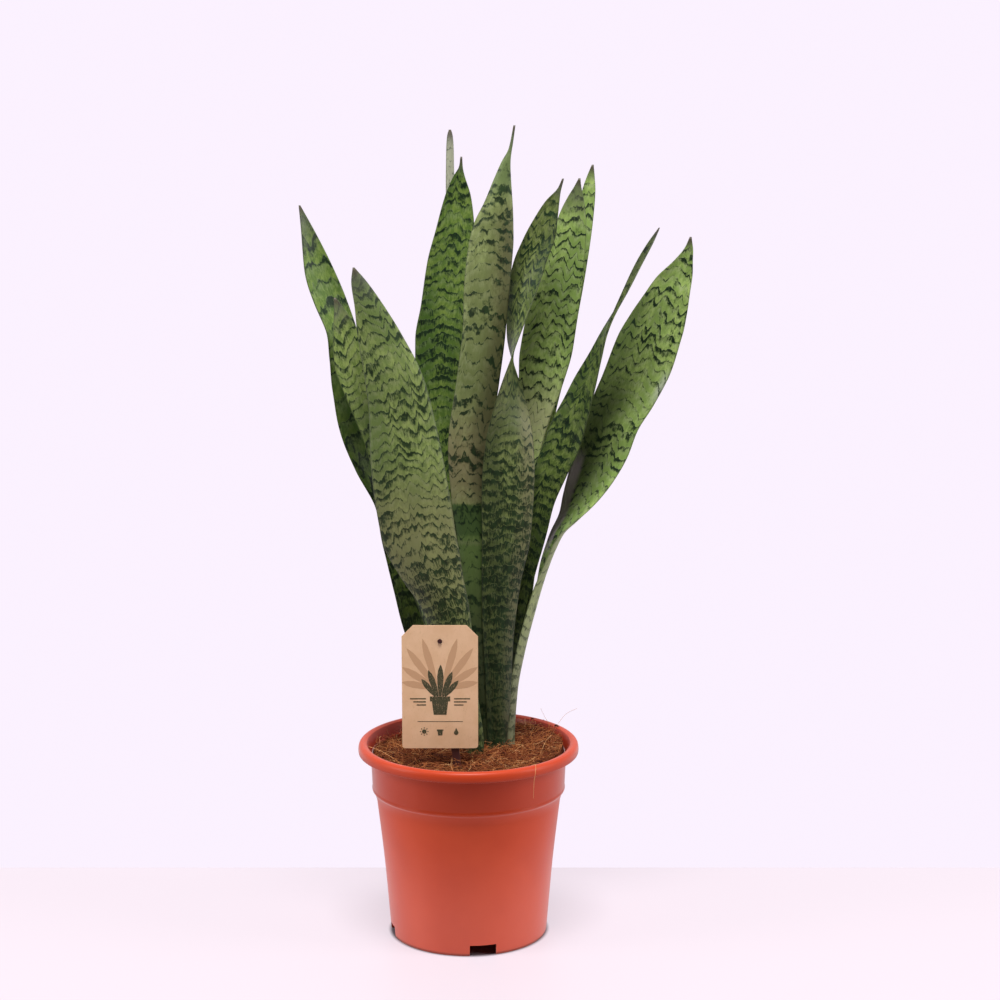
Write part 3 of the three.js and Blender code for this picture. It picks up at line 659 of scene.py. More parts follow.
def leaf_skin(name, look):
    """Waxy skin with broken dark cross bands: sharp peaked upper edges, dissolving below into dashes."""
    r = Recipe(name)
    light, green, grey = look["ground"]
    seed = look["seed"]
    shift = (seed * 13.7, seed * 7.3, seed * 3.1)
    other = (seed * 5.9, seed * 11.3, seed * 2.3)
    x, y, edge = r.split(r.attribute("on_blade")["Vector"])
    inner = r.attribute("side")["Fac"]
    flat = r.join(x, y, r.times(inner, 9))
    tall = r.times(r.split(r.object_place())["Z"], 1 / MM)

    def pattern(offset, across, along, detail=2, roughness=0.6, place=flat):
        """Noise whose grains are so many mm across and along the blade."""
        return r.noise(place, 1, detail, roughness, offset, (1 / across, 1 / along, 1))

    def centred(noise, size):
        return r.times(r.math("SUBTRACT", noise, 0.5), size)

    # Bands: where each starts, and how much of it is left below that
    low = r.ramp(tall, look["dense"], look["dense"] - 90)
    cusp = r.math("ABSOLUTE", centred(pattern(shift, 12, 80, 1, 0.5), look["peaks"]))
    cusp = r.times(cusp, r.math("MULTIPLY_ADD", low, -0.6, 1.0))
    ripple = r.times(pattern(other, 3.6, 22), BAND_RIPPLE)
    jitter = centred(pattern(shift, 2.6, 4), BAND_JITTER)
    chevron = r.times(r.math("ABSOLUTE", x), BAND_CHEVRON)
    height = r.total(y, chevron, cusp, ripple, jitter)
    drift = r.times(pattern(shift, 70, 60, 1, 0.5), BAND_DRIFT)
    turns = r.total(r.math("DIVIDE", height, look["spacing"]), drift)
    below = r.rest(r.math("FRACT", turns))
    level = r.join(x, height, inner)
    patch = r.ramp(pattern(other, 40, look["rhythm"], place=level), 0.4, 0.6)
    reach = r.total(r.times(patch, look["spread"]), r.times(low, look["crowd"]), look["thin"])
    fall = r.rest(r.math("DIVIDE", below, reach), clamp=True)

    # Broken edges
    teeth = pattern(shift, 0.8, 5, 3, 0.65)
    speck = centred(pattern(other, 1.2, 1.8, 3, 0.7), 0.9)
    blotch = centred(pattern(shift, 7, 6), look["broken"])
    weak = r.times(r.rest(patch), -0.2)
    dashes = r.times(centred(teeth, 1.2), r.math("MULTIPLY_ADD", low, 1.2, 1.0))
    field = r.total(fall, dashes, speck, blotch, weak)
    dark = r.times(r.ramp(field, 0.12, 0.86), r.ramp(below, 0.0, 0.09))

    # Stretches with a colour of their own, and stretches of painted shade, painted highlight and painted
    # reflection
    uneven = r.total(tall, centred(teeth, 6))

    def tinted(colour, zones):
        for bottom, top, soft, start, full, shade, share in zones:
            rising = r.ramp(uneven, bottom - soft, bottom + soft)
            falling = r.ramp(uneven, top + soft, top - soft)
            colour = r.blend(r.times(rising, falling, r.ramp(edge, start, full, 0.0, share)), colour, shade)
        return colour

    # Ground colour
    broad = pattern(shift, 22, 80, 3, 0.55)
    mottle = pattern(other, 3, 6, 4, 0.7)
    grain = pattern(shift, 0.55, 11, 3, 0.65)
    colour = r.blend(r.ramp(broad, 0.4, 0.6), light, green)
    colour = r.blend(r.times(r.rest(r.ramp(below, 0.25, 0.8)), 0.6), colour, grey)
    colour = r.blend(r.ramp(mottle, 0.4, 0.62, 0.0, 0.8), colour, green)
    colour = r.blend(r.ramp(grain, 0.4, 0.7, 0.0, 0.4), colour, green)
    colour = tinted(colour, look.get("zones", ()))
    # Painted shade at the foot, where the leaves crowd and shade each other
    foot = r.ramp(tall, look["shade"], look["shade"] - 100, 0.0, look["foot"])
    colour = r.blend(foot, colour, LEAF_FOOT_PAINTED_SHADE)
    under, cover = look.get("outer", LEAF_OUTER)
    outer = r.times(r.rest(inner), cover)
    colour = r.blend(outer, colour, under)
    dark = r.times(dark, r.math("MULTIPLY_ADD", outer, -0.4, 1.0))
    colour = r.blend(dark, colour, r.blend(r.ramp(mottle, 0.35, 0.65), *LEAF_INK))
    # Bare zones, such as the painted reflection on leaf_far_right, go over the bands
    colour = tinted(colour, look.get("bare", ()))

    # Dried tip and dry margin
    tip = r.attribute("to_tip")["Fac"]
    dry = r.total(tip, r.times(mottle, 14))
    colour = r.blend(r.ramp(dry, look["dry"] + 12, 9, 0.0, 0.75), colour, DRY_TIP)
    colour = r.blend(r.ramp(tip, 9, 1, 0.0, 0.85), colour, BROWN_POINT)
    margin = r.ramp(r.math("ABSOLUTE", edge), 0.95, 0.99)
    colour = r.blend(r.times(margin, 0.35), colour, LEAF_MARGIN)

    r.bump(pattern(shift, 0.8, 40), 0.0004, 0.5)
    return r.surface(colour, r.ramp(broad, 0.3, 0.7, 0.4, 0.52), Specular_IOR_Level=0.2)


def make_leaves():
    for node, rows in LEAF_ROWS.items():
        make_leaf(node, [[LEAF_FOOT, *rows[0][1:]], *rows], LEAF_LOOKS[node])


# Pot

def rounded(corners, steps=5):
    """An outline whose corners (radius, height, rounding) are softened by short curves."""
    points = []
    last = len(corners) - 1
    for i, (radius, height, rounding) in enumerate(corners):
        here = np.array([radius, height], float)
        if rounding == 0 or i in (0, last):
            points.append(here)
            continue
        before = np.array(corners[i - 1][:2], float) - here
        after = np.array(corners[i + 1][:2], float) - here
        start = here + before * min(0.5, rounding / np.linalg.norm(before))
        end = here + after * min(0.5, rounding / np.linalg.norm(after))
        for k in range(steps + 1):
            t = k / steps
            points.append((1 - t) ** 2 * start + 2 * t * (1 - t) * here + t * t * end)
    return np.array(points)


def pot_outline():
    """The pot's section: from the axis under the floor, up outside, over the lip and down inside."""
    return rounded([
        (0, 0, 0), (PAD_RADIUS, 0, 1), (PAD_RADIUS + 5, UNDER_FLOOR, 1),
        (BODY_FOOT_RADIUS - WALL, UNDER_FLOOR, 1), (BODY_FOOT_RADIUS - WALL - 0.4, 0, 0.3),
        (BODY_FOOT_RADIUS - 0.6, 0, 0.3), (BODY_FOOT_RADIUS, 1.2, 0.6),
        (BODY_MIDDLE_RADIUS, BODY_MIDDLE, 20), (BODY_TOP_RADIUS, STEP_BOTTOM - 3, 2),
        (BODY_TOP_RADIUS + 0.8, STEP_BOTTOM, 1.5), (COLLAR_RADIUS - 2.1, STEP_TOP - 2.6, 1),
        (COLLAR_RADIUS - 1, STEP_TOP - 1.5, 0.5), (COLLAR_RADIUS - 0.75, STEP_TOP - 0.3, 0.6),
        (COLLAR_RADIUS - 1.15, STEP_TOP + 1, 0.6), (COLLAR_RADIUS, LIP_BOTTOM - 1.5, 3),
        (COLLAR_RADIUS + 1.2, LIP_BOTTOM + 2, 1.2), (COLLAR_RADIUS + 3.6, LIP_BOTTOM + 4.8, 1.5),
        (RIM_RADIUS - 3.6, LIP_BOTTOM + 5.4, 1.2), (RIM_RADIUS - 1.9, LIP_BOTTOM + 3.6, 1.2),
        (RIM_RADIUS - 1.7, LIP_BOTTOM, 0.3), (RIM_RADIUS - 0.3, LIP_BOTTOM, 0.3),
        (RIM_RADIUS, LIP_BOTTOM + 1.4, 1.2), (RIM_RADIUS - 0.1, POT_HEIGHT - 3.2, 1.6),
        (RIM_RADIUS - 1.1, POT_HEIGHT - 1.1, 1.2), (RIM_RADIUS - 2.8, POT_HEIGHT, 1.2),
        (RIM_RADIUS - 5, POT_HEIGHT, 1.2), (RIM_RADIUS - 7, POT_HEIGHT - 1.1, 1.2),
        (RIM_RADIUS - 8.8, POT_HEIGHT - 4, 1.6), (COLLAR_RADIUS - WALL, LIP_BOTTOM - 2, 2),
        (COLLAR_RADIUS - 1.4 - WALL, STEP_TOP + 1, 1), (BODY_TOP_RADIUS + 0.5 - WALL, STEP_BOTTOM, 1),
        (BODY_TOP_RADIUS - WALL, STEP_BOTTOM - 3, 1), (BODY_MIDDLE_RADIUS - WALL, BODY_MIDDLE, 10),
        (BODY_FOOT_RADIUS + 0.8 - WALL, FLOOR_HEIGHT, 1), (PAD_RADIUS + 4.2, FLOOR_HEIGHT, 1),
        (PAD_RADIUS - 0.8, FLOOR_THICKNESS, 1), (0, FLOOR_THICKNESS, 0),
    ])


def turned_mesh(name, outline, sides):
    """A closed shell turned about the pot's axis. The outline starts and ends on the axis."""
    inner = outline[1:-1]
    points = [(0, 0, outline[0][1] * MM), (0, 0, outline[-1][1] * MM)]
    for i in range(sides):
        turn = 2 * math.pi * i / sides
        for radius, height in inner:
            points.append((radius * math.cos(turn) * MM, radius * math.sin(turn) * MM, height * MM))
    count = len(inner)
    faces = []
    for i in range(sides):
        a = 2 + i * count
        b = 2 + (i + 1) % sides * count
        faces.append((0, b, a))
        faces.append((1, a + count - 1, b + count - 1))
        for k in range(count - 1):
            faces.append((a + k, b + k, b + k + 1, a + k + 1))
    return mesh_from(name, points, faces)


def foot_cuts(material):
    """Cuts the notches out of the pot's foot ring and the drain holes out of its floor."""
    g = Grower("pot foot cuts", {
        "Notches": NOTCH_COUNT, "Notch Width": NOTCH_WIDTH * MM, "Notch Height": NOTCH_HEIGHT * MM,
        "Notch Turn": math.radians(NOTCH_TURN), "Foot Radius": BODY_FOOT_RADIUS * MM,
        "Drain Holes": DRAIN_HOLES, "Drain Radius": DRAIN_RADIUS * MM, "Drain Circle": DRAIN_CIRCLE * MM,
        "Floor Height": FLOOR_HEIGHT * MM,
    })
    given = g.given
    index = g.add("GeometryNodeInputIndex")[0]

    def moved(shape, x, y, z):
        return g.add("GeometryNodeTransform", {"Geometry": shape, "Translation": g.join(x, y, z)})[0]

    def ring_of(shape, count, turn):
        spots = g.add("GeometryNodePoints", {"Count": count})[0]
        angle = g.math("DIVIDE", g.times(index, 2 * math.pi), count)
        spin = g.join(0.0, 0.0, g.total(angle, turn))
        return g.add("GeometryNodeInstanceOnPoints", {
            "Points": spots, "Instance": shape, "Rotation": spin,
        })[0]

    size = g.join(given["Notch Width"], 14 * MM, g.times(given["Notch Height"], 2.0))
    block = g.add("GeometryNodeMeshCube", {"Size": size})[0]
    block = moved(block, 0.0, g.times(given["Foot Radius"], -1.0), 0.0)
    drill = g.add("GeometryNodeMeshCylinder", {
        "Vertices": 32, "Radius": given["Drain Radius"], "Depth": 6 * MM,
    })[0]
    drill = moved(drill, given["Drain Circle"], 0.0, given["Floor Height"])
    cutters = g.add("GeometryNodeJoinGeometry")[0]
    gathered = cutters.node.inputs[0]
    g.put(ring_of(block, given["Notches"], given["Notch Turn"]), gathered)
    g.put(ring_of(drill, given["Drain Holes"], 0.0), gathered)
    solid = g.add("GeometryNodeRealizeInstances", {"Geometry": cutters})[0]
    cut = g.add("GeometryNodeMeshBoolean", {
        "Mesh 1": given["Geometry"], "Mesh 2": solid,
    }, operation="DIFFERENCE")["Mesh"]
    g.end(cut, material)
    return g


def pot_plastic():
    r = Recipe("terracotta_plastic")
    place = r.object_place()
    tall = r.times(r.split(place)["Z"], 1 / MM)
    away = r.times(r.from_axis(place), 1 / MM)
    cloud = r.noise(place, 18, 3, 0.55)
    colour = r.blend(r.ramp(cloud, 0.3, 0.7), TERRACOTTA, TERRACOTTA_LIGHT)
    dust = r.noise(place, 900, 2, 0.6)
    colour = r.blend(r.ramp(dust, 0.66, 0.8, 0.0, 0.12), colour, PLASTIC_DUST)

    # Painted shade: the lip's shadow on the collar, the darker lip, the inner wall above the mix and the
    # line where the foot meets the table
    lip_shadow = r.times(r.ramp(tall, STEP_BOTTOM - 12, STEP_TOP + 6), r.ramp(tall, 149.5, 142))
    colour = r.blend(r.times(lip_shadow, 0.42), colour, COLLAR_PAINTED_SHADOW)
    # Painted shade over the whole lip
    colour = r.blend(r.ramp(tall, 143.5, 145, 0.0, 0.5), colour, LIP_PAINTED_SHADE)
    # Painted shade on the inner wall above the mix
    inner_limit = r.ramp(tall, 143.5, 146, COLLAR_RADIUS - WALL + 0.3, RIM_RADIUS - 6.6)
    within = r.ramp(r.math("SUBTRACT", away, inner_limit), 0.3, -0.3)
    inner_wall = r.times(within, r.ramp(tall, 121, 123))
    colour = r.blend(r.times(inner_wall, 0.6), colour, INNER_WALL_PAINTED_SHADE)
    # A thin line of painted shade where the foot meets the table
    foot_shade_line = r.times(r.ramp(tall, 0.4, 1.0), r.ramp(tall, 2.4, 1.6, 0.0, 0.5))
    colour = r.blend(foot_shade_line, colour, POT_FOOT_PAINTED_SHADE)

    # Finish: the collar is smoother than the body, and the shine grows towards the foot
    r.bump(r.noise(place, 2600, 2, 0.5), 0.00006, 0.35)
    collar = r.times(r.ramp(tall, STEP_BOTTOM, STEP_TOP), r.ramp(tall, 146, 143))
    gloss = r.math("MULTIPLY_ADD", collar, -0.08, r.ramp(cloud, 0.3, 0.7, 0.375, 0.4))
    bloom = r.times(r.math("MULTIPLY_ADD", collar, 0.3, 0.2), r.rest(inner_wall))
    return r.surface(
        colour, gloss, Specular_IOR_Level=r.ramp(tall, 105, 15, 0.2, 0.62),
        Sheen_Weight=bloom, Sheen_Roughness=0.4,
    )


def make_pot():
    plastic = pot_plastic()
    shell = new_object("pot_shell", turned_mesh("pot_shell", pot_outline(), POT_SIDES))
    mesh = foot_cuts(plastic).apply_to(shell, "nursery_pot")
    bpy.data.objects.remove(shell)
    mesh.set_sharp_from_angle(angle=math.radians(38))
    piece = new_object("nursery_pot", mesh)
    finish_piece(piece, "pot", "pot")


# Potting mix

def mix_level(x, y):
    """Height of the mix's surface, higher to the right and round the leaves, sunk at the back left."""
    (right, back), start, reach, depth = MIX_SINK
    fall = np.maximum(0, (right * x + back * y) / reach - start)
    lumps = 0.8 * np.sin(x / 7.3 + 1.1) * np.cos(y / 8.1) + 0.5 * np.sin((x - 1.6 * y) / 6.2)
    rise = MIX_LEVEL + x / MIX_SLOPE + lumps - depth * fall**1.2
    for (middle_x, middle_y, spread, size), way in ((MIX_MOUND, 1), (STAKE_DENT, -1)):
        rise = rise + way * size * np.exp(-((x - middle_x) ** 2 + (y - middle_y) ** 2) / spread**2)
    return rise


def crumble(x, y, rng):
    """Small uneven height from a few dozen overlapping waves."""
    height = np.zeros_like(x)
    for length, size in ((9, 0.5), (5, 0.4), (3.1, 0.32), (2.0, 0.22)):
        for _ in range(6):
            turn = rng.uniform(0, 2 * math.pi)
            wave = 2 * math.pi / (length * rng.uniform(0.8, 1.25))
            height += size * np.sin(
                wave * (x * math.cos(turn) + y * math.sin(turn)) + rng.uniform(0, 6.28)
            ) / 2.2
    return height


def make_mix():
    """The mix as one closed body: a loose surface, and under it the shape of the pot's inside."""
    rng = random.Random(5)
    radii = np.linspace(0, MIX_EDGE_RADIUS, MIX_RINGS + 1)[1:]
    angles = np.arange(MIX_SECTORS) * 2 * math.pi / MIX_SECTORS
    away, turn = np.meshgrid(radii, angles, indexing="ij")
    x = away * np.cos(turn)
    y = away * np.sin(turn)
    z = mix_level(x, y) + crumble(x, y, rng) * np.clip((MIX_EDGE_RADIUS - away) / 4, 0.15, 1)
    top = np.stack([x, y, z], 2).reshape(-1, 3)
    centre = np.array([[0, 0, float(mix_level(np.array(0.0), np.array(0.0)))]])
    below = []
    for radius, height in (
        (BODY_TOP_RADIUS - WALL - SEAT, STEP_BOTTOM - 3),
        (BODY_MIDDLE_RADIUS - WALL - SEAT, BODY_MIDDLE),
        (BODY_FOOT_RADIUS + 0.4 - WALL, FLOOR_HEIGHT + SEAT),
        (PAD_RADIUS + 3.8, FLOOR_HEIGHT + SEAT),
        (PAD_RADIUS - 1.2, FLOOR_THICKNESS + SEAT),
    ):
        ring = np.stack([radius * np.cos(angles), radius * np.sin(angles), np.full(len(angles), height)], 1)
        below.append(ring)
    foot = np.array([[0, 0, FLOOR_THICKNESS + SEAT]])
    points = np.concatenate([centre, top, *below, foot]) * MM
    faces = []
    rings = MIX_RINGS + len(below)
    for i in range(MIX_SECTORS):
        j = (i + 1) % MIX_SECTORS
        faces.append((0, 1 + i, 1 + j))
        for k in range(rings - 1):
            a = 1 + k * MIX_SECTORS
            b = a + MIX_SECTORS
            faces.append((a + i, b + i, b + j, a + j))
        last = 1 + (rings - 1) * MIX_SECTORS
        faces.append((last + j, last + i, len(points) - 1))
    mesh = mesh_from("coir_mix", points, faces)
    mesh.materials.append(mix_crumb())
    piece = new_object("coir_mix", mesh)
    for label, grower in (("coir_fibres", fibre_growth()), ("coir_crumbs", crumb_growth())):
        strands = new_object(label, grower.apply_to(piece, label))
        finish_piece(strands, "potting_mix")
    finish_piece(piece, "potting_mix", "potting_mix")


def strand(path, radius):
    """Points and faces of a thin tapered strand with a smooth run through the given points."""
    path = np.array(path, float)
    place = np.concatenate([[0], np.cumsum(np.linalg.norm(np.diff(path, axis=0), axis=1))])
    rows = [[at, *point] for at, point in zip(place, path)]
    run = np.linspace(0, place[-1], STRAND_STEPS)
    middle = np.stack([smooth_value(rows, column, run) for column in (1, 2, 3)], 1)
    heading = np.gradient(middle, axis=0)
    heading /= np.linalg.norm(heading, axis=1)[:, None]
    side = np.cross(heading, (0.31, 0.52, 0.79))
    side /= np.linalg.norm(side, axis=1)[:, None]
    up = np.cross(side, heading)
    turn = np.arange(STRAND_SIDES) * 2 * math.pi / STRAND_SIDES
    size = (radius * (1 - 0.5 * (run / place[-1]) ** 3))[:, None, None]
    ring = np.cos(turn)[:, None] * side[:, None, :] + np.sin(turn)[:, None] * up[:, None, :]
    points = (middle[:, None, :] + size * ring).reshape(-1, 3)
    return points, tube_faces(STRAND_STEPS, STRAND_SIDES, flipped=True)


def make_strays():
    """Loose fibres that stand out of the mix or hang over the rim, and crumbs left on the rim."""
    points = []
    faces = []
    tints = []
    for radius, pale, path in STRAYS:
        placed, joined = strand(path, radius)
        faces += [tuple(len(points) + corner for corner in face) for face in joined]
        points += list(placed * MM)
        tints += [pale] * len(placed)
    mesh = mesh_from("stray_fibres", points, faces)
    mesh.attributes.new("tint", "FLOAT", "POINT").data.foreach_set("value", tints)
    mesh.materials.append(fibre_colour())
    finish_piece(new_object("stray_fibres", mesh), "potting_mix")


def mix_crumb():
    r = Recipe("coir_crumb")
    place = r.object_place()
    clump = r.noise(place, 160, 4, 0.65)
    fleck = r.noise(place, 900, 3, 0.7)
    colour = r.blend(r.ramp(clump, 0.35, 0.65), (0.022, 0.005, 0.002), (0.14, 0.033, 0.01))
    colour = r.blend(r.ramp(fleck, 0.58, 0.78, 0.0, 0.6), colour, (0.28, 0.085, 0.026))
    r.bump(fleck, 0.0012, 0.9)
    return r.surface(colour, 0.92, Specular_IOR_Level=0.1)


def fibre_colour():
    r = Recipe("coir_fibre")
    tint = r.attribute("tint")["Fac"]
    colour = r.blend(r.ramp(tint, 0.0, 0.45), (0.07, 0.014, 0.005), (0.25, 0.062, 0.018))
    colour = r.blend(r.ramp(tint, 0.5, 0.85), colour, (0.48, 0.17, 0.05))
    colour = r.blend(r.ramp(tint, 0.9, 1.0), colour, (0.72, 0.42, 0.18))
    return r.surface(colour, 0.7, Specular_IOR_Level=0.2)


def surface_spots(g):
    """Points spread over the mix's open surface only."""
    up = g.split(g.add("GeometryNodeInputNormal")[0])[2]
    upward = g.add("FunctionNodeCompare", {0: up, 1: 0.35}, operation="GREATER_THAN")[0]
    edge = (MIX_EDGE_RADIUS - 0.5) * MM
    within = g.add("FunctionNodeCompare", {0: g.from_axis(g.place()), 1: edge}, operation="LESS_THAN")[0]
    both = g.add("FunctionNodeBooleanMath", {0: upward, 1: within}, operation="AND")[0]
    given = g.given
    return g.add("GeometryNodeDistributePointsOnFaces", {
        "Mesh": given["Geometry"], "Selection": both, "Density": given["Density"], "Seed": given["Seed"],
    })[0]


def held_inside(g, geometry, radius):
    """Pulls points that pass the pot's wall back to it."""
    place = g.place()
    share = g.math("MINIMUM", g.math("DIVIDE", radius * MM, g.from_axis(place)), 1.0)
    moved = g.vector_math("MULTIPLY", place, g.join(share, share, 1.0))
    return g.add("GeometryNodeSetPosition", {"Geometry": geometry, "Position": moved})[0]


def fibre_growth():
    """Fine curly coir fibres that lie on the mix, each bent its own way."""
    g = Grower("coir fibres", {
        "Density": 165000.0, "Length": 17 * MM, "Thickness": 0.14 * MM, "Curl": 7 * MM, "Seed": 8,
    })
    tinted = g.add("GeometryNodeStoreNamedAttribute", {
        "Geometry": surface_spots(g), "Name": "tint", "Value": g.randomly(0.0, 1.0, 3),
    }, data_type="FLOAT", domain="POINT")[0]
    line = g.add("GeometryNodeCurvePrimitiveLine", {
        "Start": (0, 0, 0), "End": g.join(g.given["Length"], 0.0, 0.0),
    })[0]
    line = g.add("GeometryNodeResampleCurve", {"Curve": line, "Count": 8})[0]

    # Each fibre has its own tilt, turn and length
    spin = g.join(0.0, g.randomly(-0.28, 0.1, 11), g.randomly(0.0, 6.283, 12))
    size = g.randomly(0.35, 1.25, 13)
    laid = g.add("GeometryNodeInstanceOnPoints", {
        "Points": tinted, "Instance": line, "Rotation": spin, "Scale": g.join(size, size, size),
    })[0]
    real = g.add("GeometryNodeRealizeInstances", {"Geometry": laid})[0]

    # Its bend comes from noise that its own tint moves along, and grows towards its free end
    tint = g.add("GeometryNodeInputNamedAttribute", {"Name": "tint"}, data_type="FLOAT")[0]
    apart = g.times(tint, 40.0)
    own = g.vector_math("ADD", g.place(), g.join(apart, apart, apart))
    bend = g.add("ShaderNodeTexNoise", {"Vector": own, "Scale": 110.0, "Detail": 1.5})[1]
    centred = g.vector_math("SUBTRACT", bend, (0.5, 0.5, 0.42))
    along = g.add("GeometryNodeSplineParameter")[0]
    pull = g.times(g.given["Curl"], g.times(along, 2.2))
    offset = g.add("ShaderNodeVectorMath", {0: centred, "Scale": pull}, operation="SCALE")[0]
    bent = g.add("GeometryNodeSetPosition", {"Geometry": real, "Offset": offset})[0]

    # A tube that gets thinner towards the free end
    thinned = g.add("GeometryNodeSetCurveRadius", {
        "Curve": held_inside(g, bent, MIX_EDGE_RADIUS - 0.6),
        "Radius": g.math("SUBTRACT", 1.15, g.times(along, 0.75)),
    })[0]
    section = g.add("GeometryNodeCurvePrimitiveCircle", {
        "Resolution": 3, "Radius": g.given["Thickness"],
    })[0]
    tube = g.add("GeometryNodeCurveToMesh", {
        "Curve": thinned, "Profile Curve": section, "Fill Caps": True,
    })[0]
    g.end(tube, fibre_colour())
    return g


def crumb_growth():
    """Small broken crumbs of coir pith on the mix."""
    g = Grower("coir crumbs", {"Density": 110000.0, "Size": 0.75 * MM, "Seed": 4})
    grain = g.add("GeometryNodeMeshIcoSphere", {"Radius": g.given["Size"], "Subdivisions": 1})[0]
    spin = g.join(*(g.randomly(0.0, 6.28, seed) for seed in (1, 2, 3)))
    size = g.join(g.randomly(0.4, 1.6, 4), g.randomly(0.4, 1.2, 5), g.randomly(0.3, 0.9, 6))
    laid = g.add("GeometryNodeInstanceOnPoints", {
        "Points": surface_spots(g), "Instance": grain, "Rotation": spin, "Scale": size,
    })[0]
    g.end(laid, mix_crumb())
    return g


# Label

def solid_plate(name, outline, holes, front, thickness):
    """A flat plate from an outline of (x, z) points facing the front, with round holes."""
    mesh = bpy.data.meshes.new(name)
    build = bmesh.new()
    rings = [outline, *holes]
    edges = []
    for ring in rings:
        verts = [build.verts.new((x * MM, front * MM, z * MM)) for x, z in ring]
        edges += [build.edges.new((verts[i], verts[(i + 1) % len(verts)])) for i in range(len(verts))]
    bmesh.ops.triangle_fill(build, use_beauty=True, use_dissolve=False, edges=edges)
    bmesh.ops.recalc_face_normals(build, faces=build.faces)
    grown = bmesh.ops.extrude_face_region(build, geom=build.faces[:])
    moved = [v for v in grown["geom"] if isinstance(v, bmesh.types.BMVert)]
    bmesh.ops.translate(build, verts=moved, vec=(0, thickness * MM, 0))
    bmesh.ops.recalc_face_normals(build, faces=build.faces)
    build.to_mesh(mesh)
    build.free()
    return mesh


def round_ring(x, z, radius, steps=24):
    return [
        (x + radius * math.cos(2 * math.pi * i / steps), z + radius * math.sin(2 * math.pi * i / steps))
        for i in range(steps)
    ]


def turned_shape(points, turn, start):
    """Points turned against the clock about the origin and moved from there to a start point."""
    cos = math.cos(turn)
    sin = math.sin(turn)
    return [(start[0] + x * cos - y * sin, start[1] + x * sin + y * cos) for x, y in points]


def card_outline():
    """The card with its two lower corners rounded and its two upper corners cut off."""
    half = CARD_WIDTH / 2
    points = []
    for side in (1, -1):
        for i in range(7):
            a = math.radians(-90 + 15 * i) if side == 1 else math.radians(180 + 15 * i)
            x = side * (half - CARD_CORNER) + CARD_CORNER * math.cos(a)
            points.append((x, CARD_CORNER + CARD_CORNER * math.sin(a)))
        if side == 1:
            points += [
                (half, CARD_HEIGHT - CARD_CHAMFER), (half - CARD_CHAMFER, CARD_HEIGHT),
                (CARD_CHAMFER - half, CARD_HEIGHT), (-half, CARD_HEIGHT - CARD_CHAMFER),
            ]
    return [(CARD_MIDDLE + x, CARD_BOTTOM + z) for x, z in points]


def kraft():
    r = Recipe("kraft_card")
    place = r.object_place()
    cloud = r.noise(place, 60, 3, 0.6)
    pulp = r.noise(place, 1, 4, 0.7, stretch=(900, 900, 420))
    colour = r.blend(r.ramp(cloud, 0.3, 0.7), (0.67, 0.41, 0.235), (0.73, 0.465, 0.28))
    colour = r.blend(r.ramp(pulp, 0.56, 0.72, 0.0, 0.35), colour, (0.45, 0.25, 0.13))
    r.bump(pulp, 0.00012, 0.5)
    return r.surface(colour, 0.82)


def make_card():
    hole = round_ring(CARD_MIDDLE, PEG_HEIGHT, PEG_RADIUS + SEAT)
    mesh = solid_plate("kraft_card", card_outline(), [hole], CARD_BACK - CARD_THICKNESS, CARD_THICKNESS)
    mesh.materials.append(kraft())
    piece = new_object("kraft_card", mesh)
    finish_piece(piece, "label_card", "label_card")


def blade_shape(base, length, width, lean):
    """A pointed sword-leaf outline that stands on its base point, in mm on the card."""
    side = [(0.0, 0.18), (0.3, 0.42), (0.62, 0.5), (0.82, 0.36), (0.93, 0.16)]
    right = [(share * width, part * length) for part, share in side]
    points = right + [(0, length)] + [(-x, y) for x, y in reversed(right)]
    return turned_shape(points, -math.radians(lean), base)


def bar_shape(left, right, low, high):
    return [(left, low), (right, low), (right, high), (left, high)]


def sun_shapes(x, y):
    ray = bar_shape(2.3, 3.3, -0.3, 0.3)
    return [round_ring(x, y, 1.7, 20), *(turned_shape(ray, math.pi * i / 4, (x, y)) for i in range(8))]


def drop_shape(x, y):
    arc = [math.radians(-215 + 250 * i / 16) for i in range(17)]
    return [(x + 1.7 * math.cos(a), y - 0.8 + 1.7 * math.sin(a)) for a in arc] + [(x, y + 3.0)]


def pot_shape(x, y, size):
    half = [(0.6, -1.0), (0.76, 0.3), (0.95, 0.3), (0.95, 0.78)]
    right = [(x + size * a, y + size * b) for a, b in half]
    left = [(x - size * a, y + size * b) for a, b in reversed(half)]
    return right + left


def printed(name, shapes, ink, over=0):
    """Thin closed prints on the card's front, each a hair over the last. Shapes are in mm on the card."""
    points = []
    faces = []
    for number, shape in enumerate(shapes):
        first = len(points)
        count = len(shape)
        front = CARD_BACK - CARD_THICKNESS - INK_RISE - INK_STEP * (over + number)
        for depth in (front, CARD_BACK - CARD_THICKNESS + INK_RISE):
            points += [((CARD_MIDDLE + x) * MM, depth * MM, (CARD_BOTTOM + z) * MM) for x, z in shape]
        faces.append(tuple(range(first, first + count)))
        faces.append(tuple(range(first + 2 * count - 1, first + count - 1, -1)))
        for i in range(count):
            j = (i + 1) % count
            faces.append((first + j, first + i, first + count + i, first + count + j))
    mesh = mesh_from(name, points, faces, smooth=False)
    mesh.materials.append(ink)
    finish_piece(new_object(name, mesh), "label_card")


def card_ink(name, ink, worn):
    r = Recipe(name)
    place = r.object_place()
    wear = r.noise(place, 1, 4, 0.7, stretch=(1300, 1300, 700))
    colour = r.blend(r.ramp(wear, 0.5, 0.72, 0.0, worn), ink, (0.58, 0.36, 0.2))
    return r.surface(colour, 0.8, Specular_IOR_Level=0.3)


